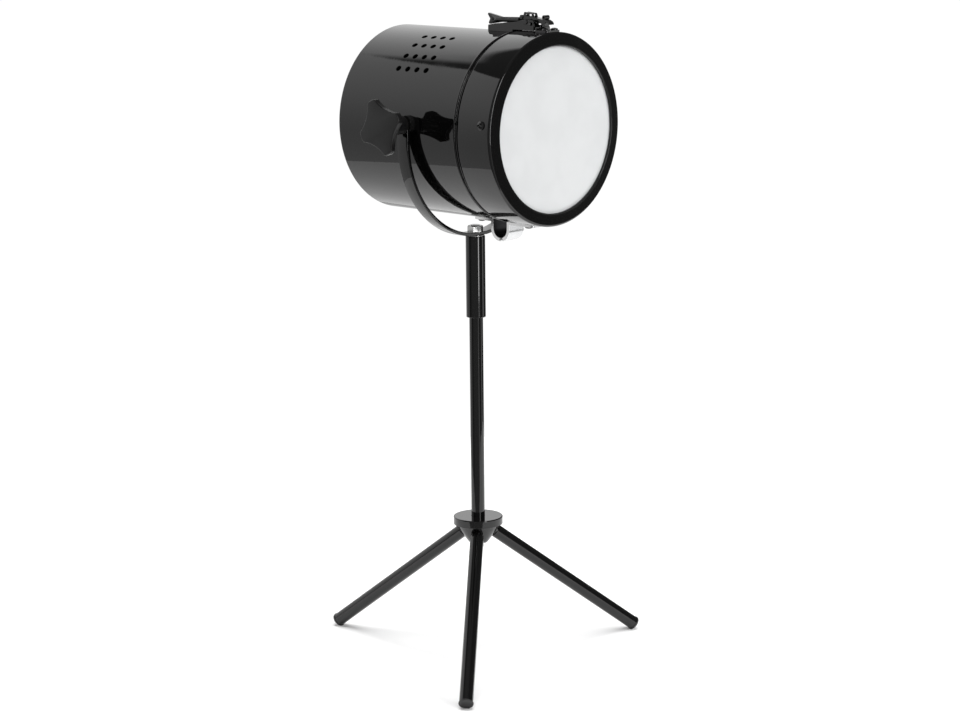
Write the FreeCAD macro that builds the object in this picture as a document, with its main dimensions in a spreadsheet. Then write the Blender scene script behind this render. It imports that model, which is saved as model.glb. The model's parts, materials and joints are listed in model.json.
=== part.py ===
# Tabletop searchlight lamp: tripod stand, swivelling yoke, tilting drum head with a hinged front.
# Millimetres. +Z is up, the floor is Z = 0 and the light leaves towards -Y.
import FreeCAD, Part
import math
import os
import Sketcher

V = FreeCAD.Vector
TURN = FreeCAD.Rotation
UPRIGHT = TURN()
FRONT = TURN(V(1, 0, 0), 90)      # local X right, local Y up, local Z towards the light
BACK = TURN(V(1, 0, 0), -90)      # local Z towards the rear
SIDE = TURN(V(1, 1, 1), 120)      # local X rearwards, local Y up, local Z to +X
DOWN = TURN(V(1, 0, 0), 180)
TO_RIGHT = TURN(V(0, 1, 0), 90)   # local Z to +X
TO_LEFT = TURN(V(0, 1, 0), -90)   # local Z to -X

DRIVING_SIZES = (
    # stand
    ("post_x", -12.7, "post axis from the origin, across"),
    ("post_y", -29.1, "post axis from the origin, along"),
    ("hub_top", 134.3, "top face of the hub above the floor"),
    ("hub_radius", 23.2, "hub rim"),
    ("hub_rim", 7.5, "height of the hub rim"),
    ("hub_shoulder", 22.3, "wide end of the hub cone"),
    ("hub_nose", 9.2, "narrow end of the hub cone"),
    ("hub_joint", 16.2, "radius where a leg axis meets the cone"),
    ("hub_break", 1.0, "bevel round the hub's upper face"),
    ("leg_slope", 37.0, "leg axis below the horizontal, degrees"),
    ("leg_azimuth", -51.0, "first leg from straight ahead, degrees"),
    ("leg_count", 3.0, "legs round the hub"),
    ("leg_diameter", 12.7, "leg tube outside"),
    ("leg_wall", 1.2, "leg tube wall"),
    ("leg_gap", 0.8, "thread showing between hub and leg"),
    ("leg_stud_radius", 4.0, "threaded stud between hub and leg"),
    ("stud_depth", 7.5, "stud inside the hub"),
    ("stud_short", 2.0, "leg stud short of the end of its plug"),
    ("leg_insert_length", 18.0, "threaded plug in the top of a leg"),
    ("foot_radius", 6.8, "lip of the foot cap"),
    ("foot_lip", 1.6, "thickness of the foot cap lip"),
    ("foot_plug", 12.0, "part of the foot cap inside the leg"),
    ("foot_land", 0.6, "height worn flat where the cap meets the floor"),
    ("foot_break", 0.5, "bevel of the foot cap edge"),
    ("post_diameter", 12.7, "post tube outside"),
    ("post_wall", 1.2, "post tube wall"),
    ("post_socket", 13.0, "post inside the hub"),
    ("post_insert_length", 16.0, "threaded plug in the foot of the post"),
    ("hub_bolt_radius", 3.0, "bolt up through the hub"),
    ("hub_bolt_flats", 10.0, "hub bolt head across flats"),
    ("hub_bolt_head", 4.0, "hub bolt head height"),
    ("hub_bolt_reach", 12.0, "hub bolt inside the post plug"),
    ("hub_washer_inset", 1.2, "hub washer inside the nose of the hub"),
    ("hub_washer_thick", 1.2, "hub washer thickness"),
    ("sleeve_diameter", 18.0, "upper sleeve outside"),
    ("sleeve_length", 75.94, "upper sleeve"),
    ("sleeve_overlap", 40.0, "post inside the sleeve"),
    ("sleeve_plug_length", 18.0, "plug in the top of the sleeve"),
    # yoke
    ("head_height", 504.3, "drum axis above the floor"),
    ("pivot_rise", 6.0, "tilt axis above the drum axis"),
    ("drum_clear", 5.0, "between the drum and the strap"),
    ("yoke_drop", 10.8, "centre of the bow below the drum axis"),
    ("yoke_land", 9.0, "half length of the flat under the nut"),
    ("strap_width", 12.7, "strap width"),
    ("strap_thick", 3.2, "strap thickness"),
    ("strap_end_land", 0.15, "half flat left at the middle of a strap end"),
    ("bolt_radius", 4.0, "swivel stud and knob studs"),
    ("nut_flats", 13.0, "swivel nut across flats"),
    ("nut_height", 5.6, "swivel nut height"),
    ("nut_turn", 30.0, "swivel nut turned from a flat across the lamp, degrees"),
    ("nut_break", 0.4, "bevel of the nut's upper face inside its flats"),
    ("nut_break_run", 9.0, "run of that bevel over the height of the nut"),
    ("stud_show", 0.6, "swivel stud above its nut"),
    ("washer_radius", 8.4, "swivel washer"),
    ("washer_thick", 0.8, "swivel washer thickness"),
    # drum
    ("drum_radius", 85.0, "drum outside"),
    ("drum_wall", 1.2, "drum sheet"),
    ("drum_front", 58.6, "drum front edge ahead of the tilt axis"),
    ("drum_length", 148.6, "drum from its front edge to its rear face"),
    ("drum_corner", 2.0, "rounding of the rear edge"),
    ("drum_flange", 13.0, "width of the rear flange"),
    ("bead_inset", 2.7, "rolled bead behind the drum front edge"),
    ("bead_radius", 1.3, "rolled bead"),
    ("collar_grip", 9.1, "front collar inside the drum"),
    ("collar_show", 9.4, "front collar ahead of the drum"),
    ("vent_radius", 2.6, "vent hole"),
    ("vent_angle", 22.6, "first vent row from the top, degrees"),
    ("vent_step", 9.75, "between vent rows, degrees"),
    ("vent_pitch", 11.45, "between vents along the drum"),
    ("vent_rear", 29.5, "rearmost vent behind the tilt axis"),
    ("vent_rows", 4.0, "vent rows on each side"),
    ("vent_holes", 4.0, "vents in each row"),
    ("cover_wall", 1.2, "rear cover sheet"),
    ("cover_inset", 3.0, "rear cover edge inside the drum edge"),
    ("cover_dish", 3.0, "depth of the pressed dish in the rear cover"),
    ("dish_margin", 20.0, "flat round the dish of the rear cover"),
    ("cover_screw_inset", 7.5, "rear cover screws inside the drum edge"),
    ("cover_screw_count", 3.0, "rear cover screws"),
    ("cover_screw_reach", 5.0, "rear cover screws past the sheets"),
    ("screw_radius", 2.0, "small machine screws"),
    ("screw_head", 3.4, "small screw heads"),
    ("screw_head_height", 1.8, "small screw head height"),
    ("screw_root", 0.5, "shank inside the screw head"),
    ("gland_inset", 13.5, "cable inlet inside the rim of the dish"),
    ("gland_radius", 6.0, "cable inlet body"),
    ("gland_flange", 9.0, "cable inlet flange"),
    ("gland_bore", 3.6, "cable inlet bore"),
    ("gland_mouth", 1.8, "flare of the inlet's inner mouth, on the radius"),
    ("gland_flange_thick", 3.0, "cable inlet flange thickness"),
    ("gland_reach", 8.0, "cable inlet outside the rear cover"),
    ("gland_nose", 2.0, "taper at the outer end of the inlet"),
    ("gland_rim", 1.0, "wall at the outer end of the inlet"),
    # lampholder and lamp
    ("bracket_width", 20.0, "lampholder bracket strip"),
    ("bracket_wall", 1.5, "lampholder bracket sheet"),
    ("bracket_gap", 1.5, "bracket foot short of the cable inlet flange"),
    ("bracket_foot", 18.0, "length of each bracket foot"),
    ("bracket_screw_reach", 5.0, "bracket screws past the sheets"),
    ("nipple_radius", 5.0, "hollow thread that holds the lampholder"),
    ("nipple_wall", 1.2, "hollow thread wall"),
    ("nipple_length", 18.0, "hollow thread length"),
    ("nipple_show", 8.0, "hollow thread behind the lampholder"),
    ("nipple_nut_flats", 14.0, "nut on the hollow thread across flats"),
    ("nipple_nut_height", 3.0, "nut on the hollow thread"),
    ("holder_set", 24.0, "lampholder ahead of the drum rear face"),
    ("holder_radius", 19.5, "lampholder outside"),
    ("holder_length", 50.0, "lampholder length"),
    ("holder_bore", 15.2, "lampholder bore"),
    ("holder_floor", 22.0, "solid base of the lampholder"),
    ("holder_shoulder", 5.0, "slope round the lampholder's rear, on the radius"),
    ("holder_shoulder_length", 6.0, "the same, along the lamp"),
    ("holder_rim", 1.5, "lampholder rim, on the radius"),
    ("holder_rim_length", 12.0, "lampholder rim, along the lamp"),
    ("holder_break", 0.5, "bevel at the mouth of the lampholder"),
    ("contact_radius", 3.5, "centre contact"),
    ("contact_thick", 1.5, "centre contact thickness"),
    ("contact_set", 10.0, "centre contact from the lampholder's rear"),
    ("shell_wall", 1.0, "screw shell sheet"),
    ("shell_length", 24.0, "screw shell length"),
    ("cap_radius", 13.2, "lamp screw cap"),
    ("cap_length", 26.0, "lamp screw cap length"),
    ("cap_clear", 0.3, "lamp cap from the lampholder floor"),
    ("cap_button", 4.0, "contact button of the cap"),
    ("cap_throat", 6.0, "insulator round the button"),
    ("cap_throat_rise", 2.5, "top of the insulator"),
    ("cap_shoulder", 1.0, "slope where the thread starts"),
    ("cap_shoulder_rise", 6.0, "start of the cap's thread"),
    ("bulb_radius", 30.0, "lamp glass"),
    ("bulb_reach", 102.0, "middle of the lamp glass from the lampholder rear face"),
    ("bulb_wall", 1.0, "lamp glass thickness"),
    ("bulb_neck", 12.6, "lamp glass neck"),
    ("neck_inside", 4.0, "lamp glass inside the cap"),
    ("neck_outside", 8.0, "straight neck outside the cap"),
    ("neck_angle", 25.0, "where the taper meets the ball behind its widest place, degrees"),
    # front door
    ("bezel_step", 1.6, "bezel over the drum, on the radius"),
    ("bezel_wall", 1.2, "bezel sheet"),
    ("door_gap", 2.3, "between the drum and the bezel"),
    ("bezel_length", 40.3, "bezel from its rear edge to its opening edge"),
    ("bezel_crown", 2.0, "rise of the bezel face to the opening"),
    ("bezel_corner", 2.4, "rounding of the bezel corner"),
    ("bezel_hem", 1.0, "rounding of the bezel rear edge"),
    ("bezel_lip", 2.6, "depth of the turned lip round the opening"),
    ("bezel_nose", 0.8, "rounding at the bezel opening"),
    ("bezel_draw", 0.2, "sheet drawn thinner in the bezel face"),
    ("bezel_face", 12.3, "width of the bezel face"),
    ("glass_hold", 4.7, "diffuser behind the bezel face"),
    ("glass_thick", 3.0, "diffuser thickness"),
    ("ring_setback", 1.7, "retaining ring behind the opening edge"),
    ("ring_depth", 11.0, "retaining ring wall"),
    ("ring_wall", 1.2, "retaining ring sheet"),
    ("bezel_screw_inset", 12.1, "bezel screws behind the opening edge"),
    ("bezel_screw_angle", 82.9, "first bezel screw from the top, degrees"),
    ("bezel_screw_count", 3.0, "screws round the bezel"),
    ("bezel_screw_length", 5.0, "bezel screws from under their heads"),
    # hinge under the drum
    ("hinge_width", 20.0, "hinge width"),
    ("hinge_thick", 3.2, "hinge bow"),
    ("leaf_thick", 2.0, "hinge flanges"),
    ("hinge_bow", 11.1, "outside radius of the hinge bow"),
    ("hinge_inset", 18.2, "hinge pin behind the drum front edge"),
    ("hinge_hang", 17.9, "hinge pin outside the drum"),
    ("knuckle_room", 2.8, "where the hinge bow turns into knuckles, from the pin"),
    ("knuckle_length", 6.6, "middle knuckle"),
    ("hinge_pin_radius", 1.1, "hinge pin"),
    ("leaf_reach_rear", 32.4, "drum leaf from the hinge pin"),
    ("leaf_reach_front", 39.6, "door leaf from the hinge pin"),
    ("leaf_screw_inset_rear", 6.5, "drum leaf screws from its end"),
    ("leaf_screw_inset_front", 8.0, "door leaf screws from its end"),
    ("leaf_screw_spread", 6.0, "leaf screws from the middle"),
    ("leaf_corner", 2.5, "rounding of the leaf corners"),
    ("leaf_screw_reach", 2.0, "leaf screws past the sheets"),
    ("hinge_pin_show", 0.5, "hinge pin outside its knuckles"),
    # latch over the drum
    ("latch_length", 38.8, "latch base floor"),
    ("latch_inset", 1.3, "latch base floor behind the drum front edge"),
    ("latch_width", 13.0, "latch base across its walls"),
    ("latch_sheet", 1.5, "latch base sheet"),
    ("latch_break", 1.0, "bevel of the latch base tail"),
    ("latch_tail", 7.0, "latch base tail without walls"),
    ("latch_wall_slope", 3.0, "slope from the tail up to the walls"),
    ("latch_web", 2.0, "end web of the latch channel"),
    ("latch_tail_rise", 3.1, "top of the latch base tail over the drum"),
    ("latch_wall_rise", 7.4, "top of the latch base walls over the drum"),
    ("ear_reach", 1.4, "latch ears ahead of the drum front edge"),
    ("ear_length", 15.0, "latch ears along the lamp"),
    ("ear_top_rise", 16.6, "top of the latch ears over the drum"),
    ("ear_foot_rise", 4.0, "bottom of the latch ears over the drum"),
    ("ear_slope", 5.0, "bevel at the upper front of the ears"),
    ("ear_break", 2.0, "bevels at the other ends of the ears"),
    ("lever_pivot_inset", 5.0, "lever pivot behind the front of the ears"),
    ("lever_pivot_rise", 9.6, "lever pivot over the drum"),
    ("rivet_radius", 2.0, "latch base rivets"),
    ("rivet_inset_rear", 9.0, "rear rivet from the end of the base"),
    ("rivet_inset_front", 12.0, "front rivet from the end of the base floor"),
    ("rivet_head", 1.2, "rivet heads outside the shank"),
    ("rivet_head_height", 0.9, "rivet heads"),
    ("rivet_set", 0.1, "inner rivet head below the curve of the drum"),
    ("lever_thick", 2.6, "lever blade"),
    ("lever_boss", 3.2, "lever round its pivot"),
    ("lever_rise", 0.6, "lever tip above its pivot"),
    ("lever_length", 48.6, "lever from its pivot to its tip"),
    ("lever_neck", 3.6, "lever neck depth"),
    ("lever_flare", 10.0, "lever tip depth"),
    ("flare_length", 16.0, "length of the flared lever tip"),
    ("tip_break", 1.0, "bevel of the lever tip"),
    ("tip_corner", 2.0, "depth of the lever tip corners"),
    ("tip_notch", 3.0, "notch in the lever tip"),
    ("tip_hole", 1.3, "hole in the lever tip"),
    ("tip_hole_inset", 5.0, "hole from the lever tip"),
    ("lever_slope", 4.0, "start of the rise to the claw pin"),
    ("lever_crown", 1.5, "half flat over the claw pin"),
    ("lever_crown_drop", 0.4, "lever below the top of the claw"),
    ("lever_boss_flat", 1.0, "half flats round the lever boss"),
    ("claw_pin_inset", 8.0, "claw pin behind the lever pivot"),
    ("claw_pin_rise", 3.6, "claw pin above the lever pivot"),
    ("claw_length", 27.6, "claw from its pin to its nose"),
    ("claw_sheet", 1.4, "claw side plate"),
    ("claw_boss", 2.4, "claw round its pin"),
    ("claw_hook", 3.2, "length of the claw hook"),
    ("claw_break", 1.0, "bevels of the claw"),
    ("claw_flat", 6.0, "flat top of the claw ahead of its pin"),
    ("claw_brow", 3.5, "front slope of the claw, along the lamp"),
    ("claw_brow_rise", 2.6, "top of the front slope over the claw's underside"),
    ("claw_nose_drop", 1.5, "top of the nose below the claw's underside"),
    ("claw_web", 3.0, "solid end of the claw behind its hook"),
    ("claw_pin_head", 0.7, "claw pin heads"),
    ("latch_pin_radius", 1.4, "lever pivot pin"),
    ("latch_pin_head", 0.8, "lever pivot pin heads"),
    ("claw_pin_radius", 1.1, "claw pin"),
    ("keeper_overlap", 6.0, "keeper behind the claw nose"),
    ("keeper_length", 13.8, "keeper along the lamp"),
    ("keeper_width", 18.0, "keeper width"),
    ("keeper_sheet", 1.4, "keeper sheet"),
    ("keeper_lip", 2.6, "height of the keeper lip"),
    ("keeper_screw_inset", 4.4, "keeper screws from its front edge"),
    ("keeper_screw_spread", 5.6, "keeper screws from the middle"),
    ("keeper_screw_radius", 1.6, "keeper screws"),
    ("keeper_screw_head", 1.0, "keeper screw heads outside the shank"),
    ("keeper_screw_head_height", 1.4, "keeper screw heads"),
    ("keeper_screw_reach", 0.5, "keeper screws past the sheets"),
    ("keeper_corner", 2.0, "rounding of the keeper's front corners"),
    # knobs
    ("knob_reach", 28.8, "outer face of a knob outside the strap"),
    ("knob_radius", 25.5, "knob over its lobes"),
    ("knob_lobes", 4.0, "lobes of a knob"),
    ("knob_waist", 18.0, "knob between its lobes"),
    ("knob_scallop", 36.0, "radius of the hollow between lobes"),
    ("knob_round", 3.5, "rounding of the lobes"),
    ("knob_thick", 5.5, "knob plate"),
    ("knob_edge", 0.9, "rounding of the knob faces"),
    ("knob_boss", 8.5, "knob boss radius"),
    ("knob_turn", 24.0, "first lobe from the front, degrees"),
    ("knob_gap", 0.2, "between knob boss and strap"),
    ("pivot_nut_radius", 8.0, "nut and spacer on the tilt axis"),
    ("pivot_nut_depth", 8.0, "nut inside the drum"),
    ("stud_set", 6.0, "knob stud behind the knob plate"),
    ("stud_inset", 1.0, "knob stud short of the nut's inner face"),
    # clearances
    ("running", 0.05, "pin in its hole, on the radius"),
    ("easy", 0.2, "bolt in its hole, on the radius"),
    ("moving_gap", 0.3, "between pieces that move past each other"),
    ("seat", 0.02, "between a curved seat and the piece on it"),
    ("seat_depth", 1.0, "depth of a blank past its curved seat, before the seat is cut"),
    ("spare", 5.0, "how far a cutting tool runs past the surface it opens"),
)

# Sizes that follow from the others, in the order the sheet works them out.
DRIVEN_SIZES = (
    ("yoke_radius", "drum_radius + drum_clear + strap_thick", "outside of the strap bow"),
    ("drum_rear", "drum_length - drum_front", "drum rear face behind the tilt axis"),
    ("bead_place", "drum_front - bead_inset", "rolled bead ahead of the tilt axis"),
    ("collar_start", "drum_front - collar_grip", "rear end of the front collar"),
    ("collar_end", "drum_front + collar_show", "front end of the front collar"),
    ("cover_radius", "drum_radius - cover_inset", "rear cover outside"),
    ("dish_radius", "cover_radius - dish_margin", "rim of the dish"),
    ("cover_screw_circle", "drum_radius - cover_screw_inset", "rear cover screws from the drum axis"),
    ("gland_drop", "dish_radius - gland_inset", "cable inlet below the drum axis"),
    ("bracket_tip", "gland_drop - gland_flange - bracket_gap", "far end of each bracket foot from the drum axis"),
    ("bracket_half", "bracket_tip - bracket_foot", "half height of the bracket bridge"),
    ("holder_rear", "drum_rear - holder_set", "lampholder rear face behind the tilt axis"),
    ("bulb_centre", "bulb_reach - holder_rear", "middle of the lamp glass ahead of the tilt axis"),
    ("bezel_radius", "drum_radius + bezel_step", "bezel outside"),
    ("bezel_rear", "drum_front + door_gap", "bezel rear edge"),
    ("bezel_front", "bezel_rear + bezel_length", "bezel opening edge"),
    ("opening_radius", "bezel_radius - bezel_face", "bezel opening"),
    ("glass_radius", "opening_radius + glass_hold", "diffuser disc"),
    ("ring_inner", "opening_radius + ring_setback", "retaining ring opening"),
    ("bezel_screw_place", "bezel_front - bezel_screw_inset", "bezel screws ahead of the tilt axis"),
    ("hinge_place", "drum_front - hinge_inset", "hinge pin ahead of the tilt axis"),
    ("hinge_drop", "drum_radius + hinge_hang", "hinge pin below the drum axis"),
    ("leaf_rear", "hinge_place - leaf_reach_rear", "rear end of the drum leaf"),
    ("leaf_front", "hinge_place + leaf_reach_front", "front end of the door leaf"),
    ("leaf_screw_rear", "leaf_rear + leaf_screw_inset_rear", "drum leaf screws"),
    ("leaf_screw_front", "leaf_front - leaf_screw_inset_front", "door leaf screws"),
    ("latch_front", "drum_front - latch_inset", "front end of the latch base floor"),
    ("latch_rear", "latch_front - latch_length", "rear end of the latch base"),
    ("latch_floor_top", "drum_radius + latch_tail_rise", "top of the latch base tail"),
    ("latch_wall_top", "drum_radius + latch_wall_rise", "top of the latch base walls"),
    ("ear_rear", "drum_front + ear_reach", "rear edge of the latch ears"),
    ("ear_front", "ear_rear + ear_length", "front edge of the latch ears"),
    ("ear_top", "drum_radius + ear_top_rise", "top of the latch ears"),
    ("ear_foot", "drum_radius + ear_foot_rise", "bottom of the latch ears"),
    ("lever_pivot_place", "ear_front - lever_pivot_inset", "lever pivot ahead of the tilt axis"),
    ("lever_pivot_height", "drum_radius + lever_pivot_rise", "lever pivot above the drum axis"),
    ("lever_end", "lever_pivot_place - lever_length", "lever tip ahead of the tilt axis"),
    ("claw_place", "lever_pivot_place - claw_pin_inset", "claw pin ahead of the tilt axis"),
    ("claw_height", "lever_pivot_height + claw_pin_rise", "claw pin above the drum axis"),
    ("claw_nose", "claw_place + claw_length", "front of the claw"),
    ("keeper_rear", "claw_nose - keeper_overlap", "rear edge of the keeper"),
    ("keeper_front", "keeper_rear + keeper_length", "front edge of the keeper"),
    ("keeper_screw_place", "keeper_front - keeper_screw_inset", "keeper screws ahead of the tilt axis"),
    ("knob_face", "yoke_radius + knob_reach", "outer face of a knob from the middle"),
)


class Size:
    # A number together with the sheet formula that drives it.
    def __init__(self, value, text):
        self.value = value
        self.text = text

    @staticmethod
    def of(item):
        return item if isinstance(item, Size) else Size(float(item), "(%r)" % float(item))

    def joined(self, other, sign, value):
        return Size(value, "(%s %s %s)" % (self.text, sign, other.text))

    def __add__(self, other):
        other = Size.of(other)
        return self.joined(other, "+", self.value + other.value)

    def __sub__(self, other):
        other = Size.of(other)
        return self.joined(other, "-", self.value - other.value)

    def __mul__(self, other):
        other = Size.of(other)
        return self.joined(other, "*", self.value * other.value)

    def __truediv__(self, other):
        other = Size.of(other)
        return self.joined(other, "/", self.value / other.value)

    def __radd__(self, other):
        return Size.of(other) + self

    def __rsub__(self, other):
        return Size.of(other) - self

    def __rmul__(self, other):
        return Size.of(other) * self

    def __neg__(self):
        return Size.of(0) - self


def sine(angle):
    return Size(math.sin(math.radians(angle.value)), "sin(%s)" % angle.text)


def cosine(angle):
    return Size(math.cos(math.radians(angle.value)), "cos(%s)" % angle.text)


def root(square):
    return Size(math.sqrt(square.value), "sqrt(%s)" % square.text)


doc = FreeCAD.newDocument("searchlight_lamp")
sheet = doc.addObject("Spreadsheet::Sheet", "Sizes")
size = {}
for row, (alias, number, note) in enumerate(DRIVING_SIZES, start=1):
    sheet.set("A%d" % row, note)
    sheet.set("B%d" % row, "%r" % number)
    sheet.setAlias("B%d" % row, alias)
    size[alias] = Size(number, "Sizes." + alias)
for row, (alias, formula, note) in enumerate(DRIVEN_SIZES, start=len(DRIVING_SIZES) + 2):
    sheet.set("A%d" % row, note)
    sheet.set("B%d" % row, "=" + formula)
    sheet.setAlias("B%d" % row, alias)
doc.recompute()
for alias, formula, note in DRIVEN_SIZES:
    size[alias] = Size(float(sheet.get(alias)), "Sizes." + alias)

ZERO = Size.of(0)
TOUCH = 0.01  # points closer than this to a plane lie on it
sub_parts = []


def bind(item, **sizes):
    for name, value in sizes.items():
        value = Size.of(value)
        setattr(item, name, value.value)
        item.setExpression(name, value.text)


def place(item, x, y, z, rotation=UPRIGHT):
    x, y, z = Size.of(x), Size.of(y), Size.of(z)
    item.Placement = FreeCAD.Placement(V(x.value, y.value, z.value), rotation)
    for axis, value in (("x", x), ("y", y), ("z", z)):
        item.setExpression("Placement.Base." + axis, value.text)


def place_on_post(item, height, rotation=UPRIGHT):
    place(item, size["post_x"], size["post_y"], height, rotation)


def place_in_head(item, across, ahead, up, rotation=FRONT):
    place(item, size["post_x"] + across, size["post_y"] - ahead, size["head_height"] + up, rotation)


def keep(item, label):
    item.Label = label
    sub_parts.append(item)
    return item


# --- sketches and features -------------------------------------------------------------------

def origin_feature(body, role):
    return [item for item in body.Origin.OriginFeatures if item.Role == role][0]


def new_body(name):
    return doc.addObject("PartDesign::Body", name + "_body")


def new_sketch(body, name, plane="XY_Plane", lift=None, turn=None):
    sketch = body.newObject("Sketcher::SketchObject", name)
    sketch.AttachmentSupport = [(origin_feature(body, plane), "")]
    sketch.MapMode = "FlatFace"
    if lift is not None:
        lift = Size.of(lift)
        sketch.AttachmentOffset = FreeCAD.Placement(V(0, 0, lift.value), TURN())
        sketch.setExpression("AttachmentOffset.Base.z", lift.text)
    if turn is not None:
        sketch.AttachmentOffset = FreeCAD.Placement(V(), TURN(V(0, 1, 0), turn.value))
        sketch.setExpression("AttachmentOffset.Rotation.Angle", turn.text)
    return sketch


def fix(sketch, kind, *reference):
    value = Size.of(reference[-1])
    number = sketch.addConstraint(Sketcher.Constraint(kind, *reference[:-1], value.value))
    sketch.setExpression("Constraints[%d]" % number, value.text)


def draw_circle(sketch, x, y, radius):
    x, y, radius = Size.of(x), Size.of(y), Size.of(radius)
    edge = sketch.addGeometry(Part.Circle(V(x.value, y.value, 0), V(0, 0, 1), radius.value))
    fix(sketch, "DistanceX", -1, 1, edge, 3, x)
    fix(sketch, "DistanceY", -1, 1, edge, 3, y)
    fix(sketch, "Radius", edge, radius)


def arc_edge(start, centre, end, clockwise):
    radius = math.hypot(start[0] - centre[0], start[1] - centre[1])
    first = math.atan2(start[1] - centre[1], start[0] - centre[0])
    last = math.atan2(end[1] - centre[1], end[0] - centre[0])
    if clockwise:
        first, last = last, first
    circle = Part.Circle(V(centre[0], centre[1], 0), V(0, 0, 1), radius)
    return Part.ArcOfCircle(circle, first, last)


# A closed outline. Each corner is (x, y), or (x, y, (centre x, centre y, "cw" or "ccw")) where an
# arc leads to it from the corner before. The last corner goes back to the first by a line.
def draw_outline(sketch, corners):
    spots = [(Size.of(corner[0]), Size.of(corner[1])) for corner in corners]
    count = len(corners)
    ends = []
    for number in range(count):
        after = (number + 1) % count
        start = (spots[number][0].value, spots[number][1].value)
        end = (spots[after][0].value, spots[after][1].value)
        bend = corners[after][2] if after and len(corners[after]) > 2 else None
        if bend is None:
            edge = sketch.addGeometry(Part.LineSegment(V(*start, 0), V(*end, 0)))
            ends.append((edge, 1, 2, None, end))
            continue
        centre_x, centre_y = Size.of(bend[0]), Size.of(bend[1])
        clockwise = bend[2] == "cw"
        curve = arc_edge(start, (centre_x.value, centre_y.value), end, clockwise)
        edge = sketch.addGeometry(curve)
        first, last = (2, 1) if clockwise else (1, 2)
        ends.append((edge, first, last, (centre_x, centre_y), end))
    for number, (edge, first, last, centre, end) in enumerate(ends):
        other, joined = ends[(number + 1) % count][:2]
        sketch.addConstraint(Sketcher.Constraint("Coincident", edge, last, other, joined))
        if centre is None:
            continue
        fix(sketch, "DistanceX", -1, 1, edge, 3, centre[0])
        fix(sketch, "DistanceY", -1, 1, edge, 3, centre[1])
    for number, (edge, first, last, centre, end) in enumerate(ends):
        before = ends[number - 1][3]
        if before is None:
            fix(sketch, "DistanceX", -1, 1, edge, first, spots[number][0])
            fix(sketch, "DistanceY", -1, 1, edge, first, spots[number][1])
            continue
        # after an arc only the coordinate that the arc leaves free is given
        across = abs(spots[number][0].value - before[0].value)
        along = abs(spots[number][1].value - before[1].value)
        if along > across:
            fix(sketch, "DistanceX", -1, 1, edge, first, spots[number][0])
        else:
            fix(sketch, "DistanceY", -1, 1, edge, first, spots[number][1])


def pad(body, sketch, length, midplane=False, reverse=False):
    feature = body.newObject("PartDesign::Pad", sketch.Name + "_pad")
    feature.Profile = sketch
    feature.Midplane = midplane
    feature.Reversed = reverse
    bind(feature, Length=length)
    return feature


def cut_through(body, sketch):
    feature = body.newObject("PartDesign::Pocket", sketch.Name + "_pocket")
    feature.Profile = sketch
    feature.Type = "ThroughAll"
    feature.Midplane = True
    return feature


def cut_to(body, sketch, depth, reverse=False):
    feature = body.newObject("PartDesign::Pocket", sketch.Name + "_pocket")
    feature.Profile = sketch
    feature.Reversed = reverse
    bind(feature, Length=depth)
    return feature


def cut_midway(body, sketch, width):
    feature = body.newObject("PartDesign::Pocket", sketch.Name + "_pocket")
    feature.Profile = sketch
    feature.Midplane = True
    bind(feature, Length=width)
    return feature


def turn_round(body, sketch):
    feature = body.newObject("PartDesign::Revolution", sketch.Name + "_turned")
    feature.Profile = sketch
    feature.ReferenceAxis = (sketch, ["V_Axis"])
    feature.Angle = 360
    return feature


def repeat_round(body, original, count, span=None):
    feature = body.newObject("PartDesign::PolarPattern", original.Name + "_round")
    feature.Originals = [original]
    feature.Axis = (origin_feature(body, "Z_Axis"), [""])
    feature.Occurrences = int(count.value)
    feature.setExpression("Occurrences", count.text)
    if span is None:
        feature.Angle = 360
    else:
        bind(feature, Angle=span)
    body.Tip = feature
    return feature


def round_edges(body, base, radius, wanted):
    doc.recompute()
    names = []
    for number, edge in enumerate(base.Shape.Edges, start=1):
        if wanted(edge):
            names.append("Edge%d" % number)
    feature = body.newObject("PartDesign::Fillet", base.Name + "_rounded")
    feature.Base = (base, names)
    bind(feature, Radius=radius)
    return feature


def middle(edge):
    return edge.valueAt((edge.FirstParameter + edge.LastParameter) / 2)


# --- primitives ------------------------------------------------------------------------------

def cylinder(name, radius, length):
    item = doc.addObject("Part::Cylinder", name)
    bind(item, Radius=radius, Height=length)
    return item


def hex_prism(name, flats, height):
    item = doc.addObject("Part::Prism", name)
    item.Polygon = 6
    bind(item, Circumradius=flats / math.sqrt(3), Height=height)
    return item


def cut(name, base, tool):
    item = doc.addObject("Part::Cut", name)
    item.Base = base
    item.Tool = tool
    return item


def common(name, base, tool):
    item = doc.addObject("Part::Common", name)
    item.Base = base
    item.Tool = tool
    return item


def fuse(name, pieces):
    item = doc.addObject("Part::MultiFuse", name)
    item.Shapes = pieces
    return item


def group(name, pieces):
    item = doc.addObject("Part::Compound", name)
    item.Links = pieces
    return item


def tube_body(name, outer, inner, length):
    body = new_body(name)
    sketch = new_sketch(body, name + "_section")
    draw_circle(sketch, 0, 0, outer)
    draw_circle(sketch, 0, 0, inner)
    pad(body, sketch, length)
    return body


def rod_body(name, radius, length):
    body = new_body(name)
    sketch = new_sketch(body, name + "_section")
    draw_circle(sketch, 0, 0, radius)
    pad(body, sketch, length)
    return body


def turned_body(name, corners):
    body = new_body(name)
    sketch = new_sketch(body, name + "_profile", "XZ_Plane")
    draw_outline(sketch, corners)
    turn_round(body, sketch)
    return body


# --- stand -----------------------------------------------------------------------------------

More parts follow.
